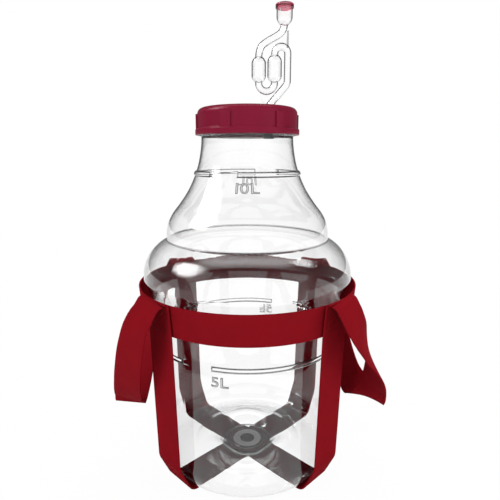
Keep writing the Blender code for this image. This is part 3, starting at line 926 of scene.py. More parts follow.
    def petal_share(self, x: float, y: float) -> float:
        """Return how far the base petals rise at a place on the punt, from 0 to 1.

        Args:
            x: The place along X.
            y: The place along Y.

        Returns:
            The share of a petal's full rise.
        """
        outside = math.hypot(x, y) > self.ring_radii[0] + self.ring_width
        for turn in (math.radians(degrees) for degrees in self.petal_turns_deg):
            away = math.hypot(x - self.petal_offset * math.cos(turn), y - self.petal_offset * math.sin(turn))
            if away < self.petal_radius and outside:
                return (1 - (away / self.petal_radius)**2)**2
        return 0.0

    def raise_relief(self, shell: Piece) -> None:
        """Displace the beads and the thread outwards and the base petals upwards.

        Args:
            shell: The turned bottle, still without its wall's thickness.
        """
        relief = shell.vertex_groups.new(name="relief")
        petals = shell.vertex_groups.new(name="petals")
        neck = shell.vertex_groups.new(name="neck")
        painted_lines = []
        for vertex in shell.data.vertices:
            x, y, height = vertex.co
            turn = math.atan2(y, x) % math.tau
            # Painted shade: how dark a line each point gets.
            painted_lines.append(self.painted_line_share(turn, height, math.hypot(x, y)))
            proud = self.bead_share(turn, height)
            if height > self.neck_root + self.neck_bead_height:
                proud = self.thread_share(turn, height) * self.thread_proud / self.bead_proud
            if proud:
                relief.add([vertex.index], proud, "REPLACE")
            if height < self.heel_height and math.hypot(x, y) < self.punt_edge[0]:
                petals.add([vertex.index], self.petal_share(x, y), "REPLACE")
            thick = height > self.neck_root
            neck.add([vertex.index], 1.0 if thick else self.wall / self.neck_wall, "REPLACE")
        Bench.mark(shell, painted_lines)
        for group, direction, strength in (
            ("relief", "NORMAL", self.bead_proud), ("petals", "Z", self.petal_rise),
        ):
            Bench.modify(
                shell, "DISPLACE", direction=direction, mid_level=0.0, strength=strength, vertex_group=group,
            )
        Bench.modify(
            shell, "SOLIDIFY", thickness=self.neck_wall, offset=-1.0, use_even_offset=True,
            vertex_group="neck",
        )

    def gate(self, finish: Material) -> Piece:
        """Build the pale rough ring that the mould leaves round the middle of the base.

        Args:
            finish: The material it gets.

        Returns:
            The finished piece.
        """
        inner, outer = self.gate_radii
        low, high = self.gate_height + self.wall, self.gate_height + self.wall + self.gate_thick
        line = [(inner, low), (outer, low), (outer - self.gate_thick, high), (inner + self.gate_thick, high)]
        ring = Bench.turned("gate_ring", [*line, line[0]], self.gate_sides)
        ring.location.z = self.foot_z
        Bench.freeze(ring)
        Bench.smooth(ring)
        Bench.dress(ring, finish)
        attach(ring, Body.VESSEL.value)
        return ring

    def build(self, finish: Material) -> Piece:
        """Build the bottle.

        Args:
            finish: The material it gets.

        Returns:
            The finished piece.
        """
        shell = Bench.turned("bottle_shell", self.outline(), self.sides)
        self.snap_columns(shell)
        self.raise_relief(shell)
        shell.location.z = self.foot_z
        Bench.freeze(shell)
        Bench.smooth(shell, self.sharp_deg)
        Bench.dress(shell, finish)
        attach(shell, Body.VESSEL.value)
        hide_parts("bottle")
        return shell


@dataclass(frozen=True)
class Capacity:
    """One capacity mark: its figures, their middle on the wall, their height and their stretch."""

    text: str
    turn_deg: float
    height: float
    size: float
    stretch: float = 1.22


@dataclass
class LitreFigures:
    """Raised capacity figures under the left end of each graduation bead, front and back."""

    bottle: Bottle
    thickness: float = 0.0010
    proud: float = 0.0007
    depth: float = 0.030
    edge: float = 0.045
    boldness: float = -0.030
    # Share of painted dark line (painted shade) on the figures' faces.
    face_line: float = 0.15
    edge_steps: int = 2
    curve_steps: int = 5
    sharp_deg: float = 30.0
    gap: float = 0.0020
    ten: Capacity = Capacity("10L", 0.2, 0.3128, 0.0108)
    five: Capacity = Capacity("5L", -14.3, 0.1336, 0.0104)

    FLAT_PART = 20

    def figure(self, letter: str, mark: Capacity) -> Piece:
        """Make one upright figure as a mesh with its left bottom corner at the origin.

        Args:
            letter: The figure.
            mark: The mark that it belongs to.

        Returns:
            The figure's mesh.
        """
        Bench.clear()
        bpy.ops.object.text_add()
        text = bpy.context.object
        text.data.body = letter
        text.data.extrude = self.depth
        text.data.bevel_depth = self.edge
        text.data.bevel_resolution = self.edge_steps
        text.data.offset = self.boldness
        text.data.resolution_u = self.curve_steps
        bpy.ops.object.convert(target="MESH")
        piece = Bench.named(f"figure_{letter}")
        low = Vector(map(min, *(vertex.co for vertex in piece.data.vertices)))
        high = Vector(map(max, *(vertex.co for vertex in piece.data.vertices)))
        scale = mark.size / (high.y - low.y)
        flat = high.z - self.edge / self.FLAT_PART
        # Painted shade: the figures' sides get the full painted dark line, their faces a faint one.
        lines = [1.0 if abs(vertex.co.z) < flat else self.face_line for vertex in piece.data.vertices]
        for vertex in piece.data.vertices:
            vertex.co.x = (vertex.co.x - low.x) * scale * mark.stretch
            vertex.co.y = (vertex.co.y - low.y) * scale
            vertex.co.z *= self.thickness / (high.z - low.z)
        Bench.mark(piece, lines)
        return piece

    def line_of(self, mark: Capacity, side_deg: float) -> list[Piece]:
        """Set the figures of one mark side by side on the wall.

        Args:
            mark: The mark.
            side_deg: 0 for the front and 180 for the back.

        Returns:
            The figures, in their places.
        """
        figures = [self.figure(letter, mark) for letter in mark.text]
        widths = [max(vertex.co.x for vertex in piece.data.vertices) for piece in figures]
        outline = self.bottle.outline()
        height, half = mark.height, mark.size / 2
        radius = self.bottle.radius_at(outline, height)
        lean = self.bottle.radius_at(outline, height - half) - self.bottle.radius_at(outline, height + half)
        tilt = math.atan2(lean, mark.size)
        along = -(sum(widths) + self.gap * (len(widths) - 1)) / 2
        for piece, width in zip(figures, widths):
            turn = math.radians(mark.turn_deg + side_deg) + (along + width / 2) / radius
            out = Vector((math.sin(turn), -math.cos(turn), 0.0))
            rise = self.proud - self.thickness / 2
            middle = out * (radius + rise * math.cos(tilt))
            middle.z = self.bottle.foot_z + height + rise * math.sin(tilt)
            for vertex in piece.data.vertices:
                vertex.co.x -= width / 2
                vertex.co.y -= half
            piece.location = middle
            piece.rotation_euler = (math.radians(90.0) - tilt, 0.0, turn)
            Bench.freeze(piece)
            along += width + self.gap
        return figures

    def build(self, finish: Material) -> Piece:
        """Build all figures as one piece.

        Args:
            finish: The material it gets.

        Returns:
            The finished piece.
        """
        figures = []
        for mark in (self.ten, self.five):
            for side_deg in (0.0, 180.0):
                figures += self.line_of(mark, side_deg)
        piece = Bench.join(figures, "litre_figures")
        with Bench.edit(piece):
            Bench.heal()
        Bench.smooth(piece, self.sharp_deg)
        Bench.dress(piece, finish)
        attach(piece, Body.VESSEL.value)
        return piece


# Cap, gasket and bung


@dataclass
class ScrewCap:
    """Burgundy cap with a rounded shoulder, six grip ribs between flat panels and a plain band."""

    sides: int = 360
    top_z: float = 0.3937
    underside_z: float = 0.3903
    bottom_z: float = 0.3663
    band_radius: float = 0.0548
    band_height: float = 0.0062
    rib_radius: float = 0.0542
    rib_height: float = 0.0148
    panel_radius: float = 0.0524
    bore_radius: float = 0.0504
    shoulder: float = 0.0062
    edge: float = 0.0005
    rib_edge: float = 0.0008
    foot: float = 0.0014
    ribs: int = 6
    rib_angle_deg: float = 11.0
    first_rib_deg: float = -113.0
    hole_offset: float = 0.0228
    hole_radius: float = 0.0067
    hole_sides: int = 64
    shoulder_steps: int = 10
    foot_steps: int = 5
    rib_edge_steps: int = 3
    rib_edge_deg: float = 40.0
    sharp_deg: float = 30.0

    TOP_SHARES = (0.0, 0.3, 0.6, 0.85)
    UNDERSIDE_SHARES = (0.7, 0.4, 0.0)
    SLACK_PART = 9

    def outline(self) -> list[Pair]:
        """Return the section from the middle of the top round the skirt to the underside.

        Returns:
            (radius, height) points from the middle of the top to that of the underside.
        """
        panel, band, edge = self.panel_radius, self.band_radius, self.edge
        rib_bottom = self.bottom_z + self.band_height
        rib_top = rib_bottom + self.rib_height
        line = [(share * (panel - self.shoulder), self.top_z) for share in self.TOP_SHARES]
        centre = (panel - self.shoulder, self.top_z - self.shoulder)
        line += Curves.arc(centre, self.shoulder, 90.0, 0.0, self.shoulder_steps)
        line += [(panel, rib_top)]
        centre = (panel + self.foot, rib_bottom + self.foot)
        line += Curves.arc(centre, self.foot, 180.0, 240.0, self.foot_steps)
        line += [(self.rib_radius, rib_bottom - edge / 2), (band - edge, rib_bottom - edge)]
        line += Curves.edge((band - edge, rib_bottom - 2 * edge), edge, 90.0)
        line += Curves.edge((band - edge, self.bottom_z + edge), edge, 0.0)
        line += Curves.edge((self.bore_radius + edge, self.bottom_z + edge), edge, -90.0)
        inside = (self.bore_radius - edge, self.underside_z - edge)
        line += Curves.arc(inside, edge, 0.0, 90.0, Curves.EDGE_STEPS)
        line += [(share * self.bore_radius, self.underside_z) for share in self.UNDERSIDE_SHARES]
        return line

    def raise_ribs(self, cap: Piece) -> None:
        """Extrude the wall between two panels outwards at each rib.

        Args:
            cap: The turned cap.
        """
        rib_bottom = self.bottom_z + self.band_height
        rib_top = rib_bottom + self.rib_height
        pitch = 360.0 / self.ribs
        slack = self.edge / self.SLACK_PART
        with Bench.edit(cap):
            bpy.ops.mesh.select_all(action="DESELECT")
            shape = bmesh.from_edit_mesh(cap.data)
            for face in shape.faces:
                middle = face.calc_center_median()
                turn_deg = math.degrees(math.atan2(middle.y, middle.x))
                off = (turn_deg - self.first_rib_deg + pitch / 2) % pitch - pitch / 2
                reach = max(math.hypot(vertex.co.x, vertex.co.y) for vertex in face.verts)
                on_wall = self.bore_radius + self.edge < reach <= self.rib_radius + slack
                level = rib_bottom - self.edge < middle.z < rib_top
                if abs(off) < self.rib_angle_deg / 2 and on_wall and level:
                    face.select_set(True)
            bmesh.update_edit_mesh(cap.data)
            bpy.ops.mesh.extrude_region_move(TRANSFORM_OT_translate={"value": (0.0, 0.0, 0.0)})
            shape = bmesh.from_edit_mesh(cap.data)
            for vertex in (vertex for vertex in shape.verts if vertex.select):
                reach = math.hypot(vertex.co.x, vertex.co.y)
                vertex.co.x *= self.rib_radius / reach
                vertex.co.y *= self.rib_radius / reach
            bmesh.update_edit_mesh(cap.data)
            bpy.ops.mesh.select_all(action="SELECT")
            Bench.heal()

    def build(self, finish: Material) -> Piece:
        """Build the cap.

        Args:
            finish: The material it gets.

        Returns:
            The finished piece.
        """
        cap = Bench.turned("screw_cap_shell", self.outline(), self.sides)
        with Bench.edit(cap):
            half_step = math.radians(180.0 / self.sides)
            bpy.ops.transform.rotate(value=half_step, orient_axis="Z", center_override=(0.0, 0.0, 0.0))
        self.raise_ribs(cap)
        Bench.modify(
            cap, "BEVEL", width=self.rib_edge, segments=self.rib_edge_steps,
            limit_method="ANGLE", angle_limit=math.radians(self.rib_edge_deg),
        )
        Bench.clear()
        bpy.ops.mesh.primitive_cylinder_add(
            vertices=self.hole_sides, radius=self.hole_radius,
            depth=self.top_z - self.underside_z + 4 * self.foot,
            location=(self.hole_offset, 0.0, (self.top_z + self.underside_z) / 2),
        )
        Bench.cut(cap, Bench.named("bung_drill"))
        Bench.smooth(cap, self.sharp_deg)
        Bench.dress(cap, finish)
        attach(cap, Body.CAP.value)
        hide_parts("screw_cap")
        return cap


@dataclass
class Gasket:
    """Flat white sealing ring under the cap."""

    bottom_z: float = 0.3884
    thickness: float = 0.0016
    outer: float = 0.0485
    width: float = 0.0065
    edge: float = 0.0005
    sides: int = 128

    def build(self, finish: Material) -> Piece:
        """Build the ring with rounded edges.

        Args:
            finish: The material it gets.

        Returns:
            The finished piece.
        """
        inner, top, edge = self.outer - self.width, self.bottom_z + self.thickness, self.edge
        line = Curves.edge((self.outer - edge, top - edge), edge, 90.0)
        line += Curves.edge((self.outer - edge, self.bottom_z + edge), edge, 0.0)
        line += Curves.edge((inner + edge, self.bottom_z + edge), edge, -90.0)
        line += Curves.edge((inner + edge, top - edge), edge, 180.0)
        ring = Bench.turned("gasket_ring", [*line, line[0]], self.sides)
        Bench.smooth(ring)
        Bench.dress(ring, finish)
        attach(ring, Body.SEAL.value)
        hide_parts("cap_gasket")
        return ring


@dataclass
class Bung:
    """Grey rubber bung with a thin flange and sealing ridges."""

    x: float = 0.0228
    seat_z: float = 0.3940
    radius: float = 0.0064
    flange_radius: float = 0.0092
    flange: float = 0.0012
    length: float = 0.0310
    bore: float = 0.00395
    edge: float = 0.0004
    ridges: int = 3
    ridge_pitch: float = 0.0040
    ridge: float = 0.0005
    sides: int = 64

    def build(self, finish: Material) -> Piece:
        """Build the bung.

        Args:
            finish: The material it gets.

        Returns:
            The finished piece.
        """
        top, bottom, edge = self.seat_z + self.flange, self.seat_z - self.length, self.edge
        body = self.radius - self.ridge
        line = Curves.edge((self.flange_radius - edge, top - edge), edge, 90.0)
        line += [(self.flange_radius, self.seat_z), (self.radius, self.seat_z)]
        ridge_top = self.seat_z - self.length / 2
        for number in range(self.ridges):
            middle = ridge_top - self.ridge_pitch * number
            line += [(body, middle + 2 * self.ridge), (self.radius, middle), (body, middle - 2 * self.ridge)]
        line += Curves.edge((body - edge, bottom + edge), edge, 0.0)
        line += [(self.bore, bottom), (self.bore, top)]
        bung = Bench.turned("rubber_bung", [*line, line[0]], self.sides, self.x)
        Bench.smooth(bung)
        Bench.dress(bung, finish)
        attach(bung, Body.BUNG.value)
        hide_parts("airlock_bung")
        return bung


# Bubbler


@dataclass
class Airlock:
    """Clear double-bulb bubbler with its flat webs, an S-shaped stem and an open cup."""

    foot_x: float = 0.0228
    tail_z: float = 0.3652
    inlet_z: float = 0.3966
    inlet_rise: float = 0.0216
    inlet_shift: float = 0.0186
    inlet_bend: float = 0.0042
    down_bend: float = 0.0080
    tube: float = 0.00365
    tube_wall: float = 0.0009
    tube_sides: int = 6
    upper_bend: float = 0.00665
    lower_bend: float = 0.00815
    down_height: float = 0.0294
    bulb: float = 0.0074
    right_bulb_length: float = 0.0257
    left_bulb_length: float = 0.0240
    bulb_end: float = 0.0060
    right_bulb_gap: float = 0.0019
    lower_bend_gap: float = 0.0010
    stem_rise: float = 0.0307
    stem_shift: float = 0.0257
    cup_radius: float = 0.0081
    cup_height: float = 0.0178
    cup_end: float = 0.0070
    web: float = 0.0011
    web_overlap: float = 0.0005
    web_bead: float = 0.0010
    # Share of painted dark line (painted shade) on the web bead.
    web_line: float = 0.5
    web_bead_sides: int = 16
    web_edge_steps: int = 2
    foot_web_share: float = 0.52
    inlet_steps: int = 6
    upper_steps: int = 20
    lower_steps: int = 22
    stem_samples: int = 4
    stem_web_steps: int = 12
    foot_web_steps: int = 10
    sharp_deg: float = 40.0

    STEM_WEB_ARC_DEG = (49.0, 175.0)
    FOOT_WEB_ARC_DEG = (232.0, 318.0)
    STEM_SHARES = (
        (0.000, 0.000), (0.015, 0.140), (0.109, 0.342), (0.360, 0.500), (0.655, 0.632),
        (0.860, 0.745), (0.965, 0.880), (1.000, 1.000),
    )
    SWELL_STEPS = 8

    def __post_init__(self) -> None:
        """Work out the places along the bubbler."""
        self.down_x = self.foot_x + self.inlet_shift
        self.right_x = self.down_x - 2 * self.upper_bend
        self.left_x = self.right_x - 2 * self.lower_bend
        self.cup_x = self.left_x + self.stem_shift
        self.down_z = self.inlet_z + self.inlet_rise
        self.upper_z = self.down_z + self.down_height
        self.right_top_z = self.upper_z - self.right_bulb_gap
        self.bulb_bottom_z = self.right_top_z - self.right_bulb_length
        self.lower_z = self.bulb_bottom_z - self.lower_bend_gap
        self.stem_z = self.bulb_bottom_z + self.left_bulb_length
        self.cup_z = self.stem_z + self.stem_rise
        self.cup_top_z = self.cup_z + self.cup_height

    def swell(self, thin: float, thick: float) -> list[Pair]:
        """Return (depth share, radius) where the tube opens into a bulb or the cup.

        Args:
            thin: The tube's radius.
            thick: The full radius.

        Returns:
            The pairs, from thin to thick.
        """
        made = []
        for step in range(self.SWELL_STEPS + 1):
            share = step / self.SWELL_STEPS
            opened = (math.sin(math.pi / 2 * share) + math.sqrt(1 - (1 - share)**2)) / 2
            made.append((share, thin + (thick - thin) * opened))
        return made

    def bulb_route(self, x: float, start_z: float, end_z: float) -> list[Triple]:
        """Return the (x, z, radius) points of one bulb.

        Args:
            x: Where the bulb stands.
            start_z: The height at which it starts.
            end_z: The height at which it ends.

        Returns:
            The points, in order along the tube.
        """
        way = math.copysign(self.bulb_end, end_z - start_z)
        swell = self.swell(self.tube, self.bulb)
        rising = [(x, start_z + way * share, radius) for share, radius in swell]
        falling = [(x, end_z - way * share, radius) for share, radius in reversed(swell)]
        return rising + falling

    def stem(self) -> list[Pair]:
        """Return the smooth (x, z) line of the stem from the left bulb to the cup.

        Returns:
            The (x, z) points, both ends included.
        """
        line = [
            (self.left_x + self.stem_shift * out, self.stem_z + self.stem_rise * up)
            for out, up in self.STEM_SHARES
        ]
        return Curves.smooth(line, self.stem_samples)

    def route(self) -> list[Triple]:
        """Return (x, z, radius) along the bubbler from its tail to the open cup.

        Returns:
            The points, in order along the tube.
        """
        low, high = (self.foot_x, self.inlet_z), (self.down_x, self.down_z)
        line = [(self.foot_x, self.tail_z)]
        line += Curves.fillet(low, line[0], high, self.inlet_bend, self.inlet_steps)
        line += Curves.fillet(high, low, (self.down_x, self.upper_z), self.down_bend, self.inlet_steps)
        centre = (self.down_x - self.upper_bend, self.upper_z)
        line += Curves.arc(centre, self.upper_bend, 0.0, 180.0, self.upper_steps)
        points = [(x, z, self.tube) for x, z in line]
        points += self.bulb_route(self.right_x, self.right_top_z, self.bulb_bottom_z)
        centre = (self.right_x - self.lower_bend, self.lower_z)
        lower = Curves.arc(centre, self.lower_bend, 0.0, -180.0, self.lower_steps)
        points += [(x, z, self.tube) for x, z in lower]
        points += self.bulb_route(self.left_x, self.bulb_bottom_z, self.stem_z)
        points += [(x, z, self.tube) for x, z in self.stem()[1:-1]]
        cup = self.swell(self.tube, self.cup_radius)
        points += [(self.cup_x, self.cup_z + self.cup_end * share, radius) for share, radius in cup]
        points.append((self.cup_x, self.cup_top_z, self.cup_radius))
        return points

    def tube_piece(self) -> Piece:
        """Make the hollow tube along the route.

        Returns:
            The tube, with its wall's thickness.
        """
        Bench.clear()
        bpy.ops.curve.primitive_nurbs_path_add()
        path = bpy.context.object
        path.data.splines.clear()
        path.data.bevel_depth = self.tube
        path.data.bevel_resolution = self.tube_sides
        path.data.use_fill_caps = False
        route = self.route()
        spline = path.data.splines.new("POLY")
        spline.points.add(len(route) - 1)
        for point, (x, z, radius) in zip(spline.points, route):
            point.co = (x, 0.0, z, 1.0)
            point.radius = radius / self.tube
        Bench.pick(path)
        bpy.ops.object.convert(target="MESH")
        tube = Bench.named("bubbler_tube")
        with Bench.edit(tube):
            Bench.heal()
        Bench.modify(tube, "SOLIDIFY", thickness=self.tube_wall, offset=-1.0, use_even_offset=True)
        return tube

    def plate(self, name: str, corners: Sequence[Pair]) -> Piece:
        """Make a thin flat web in the bubbler's plane from its corners.

        Args:
            name: The web's name.
            corners: Its (x, z) corners in order.

        Returns:
            The web.
        """
        Bench.clear()
        bpy.ops.mesh.primitive_circle_add(vertices=len(corners), fill_type="NGON")
        web = Bench.named(name)
        for vertex, (x, z) in zip(web.data.vertices, corners):
            vertex.co = (x, 0.0, z)
        Bench.modify(web, "SOLIDIFY", thickness=self.web, offset=0.0)
        Bench.modify(web, "BEVEL", width=self.web / 4, segments=self.web_edge_steps, limit_method="ANGLE")
        with Bench.edit(web):
            bpy.ops.mesh.normals_make_consistent(inside=False)
        return web

    def bead(self, low: Pair, high: Pair) -> Piece:
        """Make the round bead on the free edge of the stem web.

        Args:
            low: The (x, z) place of its lower end.
            high: The (x, z) place of its upper end.

        Returns:
            The bead.
        """
        Bench.clear()
        bpy.ops.mesh.primitive_cylinder_add(
            vertices=self.web_bead_sides, radius=self.web_bead, depth=high[1] - low[1] + self.tube,
            location=(low[0], 0.0, (low[1] + high[1]) / 2),
        )
        made = Bench.named("web_bead")
        # Painted shade: the whole bead gets a painted dark line.
        Bench.mark(made, [self.web_line] * len(made.data.vertices))
        Bench.freeze(made)
        Bench.modify(
            made, "BEVEL", width=self.web_bead / 3, segments=self.web_edge_steps, limit_method="ANGLE",
        )
        return made

    def stem_web(self) -> list[Pair]:
        """Return the corners of the web between the upper bend, the bulbs and the stem.

        Returns:
            The (x, z) corners in order.
        """
        reach = self.tube - self.web_overlap
        centre = (self.down_x - self.upper_bend, self.upper_z)
        corners = Curves.arc(centre, self.upper_bend + reach, *self.STEM_WEB_ARC_DEG, self.stem_web_steps)
        corners.append((self.right_x - self.bulb + self.web_overlap, self.right_top_z - self.bulb_end))
        corners.append((self.left_x + self.bulb - self.web_overlap, self.stem_z - self.bulb_end))
        line = self.stem()
        for before, here, after in zip(line, line[1:], line[2:]):
            along = Vector((after[0] - before[0], after[1] - before[1])).normalized()
            if here[1] < self.cup_z - self.tube:
                corners.append((here[0] + along.y * reach, here[1] - along.x * reach))
        corners.append((corners[0][0], self.cup_z - 2 * self.tube))
        return corners

    def foot_web(self) -> list[Pair]:
        """Return the corners of the web between the lower bend and the inlet.

        Returns:
            The (x, z) corners in order.
        """
        reach = self.tube - self.web_overlap
        centre = (self.right_x - self.lower_bend, self.lower_z)
        corners = Curves.arc(centre, self.lower_bend + reach, *self.FOOT_WEB_ARC_DEG, self.foot_web_steps)
        inlet = Vector((self.inlet_shift, self.inlet_rise))
        along = inlet.normalized()
        middle = Vector((self.foot_x, self.inlet_z)) + inlet * self.foot_web_share
        corners.append(tuple(middle + Vector((-along.y, along.x)) * reach))
        corners.append((self.foot_x - reach / 2, self.inlet_z + self.inlet_bend))
        corners.append((self.foot_x - reach, self.inlet_z))
        corners.append((self.left_x + self.tube, self.inlet_z + self.inlet_bend))
        return corners

    def build(self, finish: Material) -> Piece:
        """Build the bubbler.

        Args:
            finish: The material it gets.

        Returns:
            The finished piece.
        """
        edge = self.stem_web()
        webs = [self.plate("stem_web", edge), self.plate("foot_web", self.foot_web())]
        webs.append(self.bead(edge[0], edge[-1]))
        tube = Bench.join([self.tube_piece(), *webs], "bubbler")
        Bench.freeze(tube)
        Bench.smooth(tube, self.sharp_deg)
        Bench.dress(tube, finish)
        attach(tube, Body.AIRLOCK.value)
        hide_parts("airlock_tube")
        return tube


@dataclass
class DustCap:
    """Red push-on cap with a vent slit in its skirt."""

    x: float = 0.0375
    underside_z: float = 0.4928
    top: float = 0.0013
    height: float = 0.0044
    inner: float = 0.0084
    outer: float = 0.0092
    rim: float = 0.0012
    edge: float = 0.0003
    slit_width: float = 0.0011
    slit_height: float = 0.0026
    slit_turn_deg: float = 121.0
    sides: int = 96
    rim_steps: int = 6
    rim_start_deg: float = 78.0

    TOP_SHARES = (0.62, 0.68, 0.74)

    def build(self, finish: Material) -> Piece:
        """Build the cap and cut its vent.

        Args:
            finish: The material it gets.

        Returns:
            The finished piece.
        """
        top, edge = self.underside_z + self.top, self.edge
        bottom = top - self.height
        plateau, groove, rim = (self.outer * share for share in self.TOP_SHARES)
        line = [(0.0, top), (plateau, top), (groove, top - edge), (rim, top - edge)]
        centre = (self.outer - self.rim, top - self.rim)
        line += Curves.arc(centre, self.rim, self.rim_start_deg, 0.0, self.rim_steps)
        line += Curves.edge((self.outer - edge, bottom + edge), edge, 0.0)
        line += [(self.inner, bottom), (self.inner, self.underside_z - edge)]
        line += [(radius, self.underside_z) for radius in (self.inner - edge, self.inner / 2, 0.0)]
        cap = Bench.turned("dust_cap_shell", line, self.sides, self.x)
        turn = math.radians(self.slit_turn_deg)
        Bench.clear()
        bpy.ops.mesh.primitive_cube_add(
            size=1.0,
            location=(self.x + self.outer * math.cos(turn), self.outer * math.sin(turn), bottom),
            rotation=(0.0, 0.0, turn),
            scale=(4 * (self.outer - self.inner), self.slit_width, 2 * self.slit_height),
        )
        Bench.cut(cap, Bench.named("vent_cut"))
        Bench.smooth(cap)
        Bench.dress(cap, finish)
        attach(cap, Body.DUST_CAP.value)
        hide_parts("airlock_cap")
        return cap


# Harness


@dataclass
class Webbing:
    """Sizes and the making of one flat strap."""

    width: float = 0.0365
    thickness: float = 0.0016
    edge: float = 0.0004
    strips: int = 6
    edge_steps: int = 2
    edge_deg: float = 60.0
    sharp_deg: float = 50.0

    def strap(
        self,
        name: str,
        centres: Sequence[Vector],
        widths: Sequence[Vector],
        finish: Material,
        closed: bool = False,
        width: float | None = None,
        ease: float = 0.0,
    ) -> Piece:
        """Lay a flat strip along its centre line and give it its thickness.

        Args:
            name: The piece's name.
            centres: Points along the strap's centre line.
            widths: The way across the strap at each point.
            finish: The webbing material.
            closed: True if the last point is the first one again, so the ends are merged.
            width: The strap's width, if it isn't the usual one.
            ease: How far on each side the line's way is averaged, where the width is squared to it.

        Returns:
            The strap, with its map in metres along and across.
        """
        Bench.clear()
        bpy.ops.mesh.primitive_grid_add(
            x_subdivisions=len(centres) - 1, y_subdivisions=self.strips, size=1.0, calc_uvs=True,
        )
        piece = Bench.named(name)
        wide = width or self.width
        reach = [0.0]
        for before, after in zip(centres, centres[1:]):
            reach.append(reach[-1] + (after - before).length)
        chart = []
        for vertex in piece.data.vertices:
            column = round((vertex.co.x + 0.5) * (len(centres) - 1))
            share = vertex.co.y
            near = [index for index, run in enumerate(reach) if abs(run - reach[column]) <= ease]
            ahead = centres[min(near[-1] + 1, len(centres) - 1)] - centres[max(near[0] - 1, 0)]
            across = widths[column] - ahead * (widths[column].dot(ahead) / ahead.length_squared)
            vertex.co = centres[column] + across.normalized() * (wide * share)
            chart.append((reach[column], wide * share))
        layer = piece.data.uv_layers[WEBBING_MAP]
        for loop in piece.data.loops:
            layer.data[loop.index].uv = chart[loop.vertex_index]
        if closed:
            with Bench.edit(piece):
                bpy.ops.mesh.remove_doubles(threshold=DOUBLES)
        Bench.modify(piece, "SOLIDIFY", thickness=self.thickness, offset=0.0, use_even_offset=True)
        Bench.modify(
            piece, "BEVEL", width=self.edge, segments=self.edge_steps,
            limit_method="ANGLE", angle_limit=math.radians(self.edge_deg),
        )
        with Bench.edit(piece):
            bpy.ops.mesh.normals_make_consistent(inside=False)
        Bench.smooth(piece, self.sharp_deg)
        Bench.dress(piece, finish)
        return piece


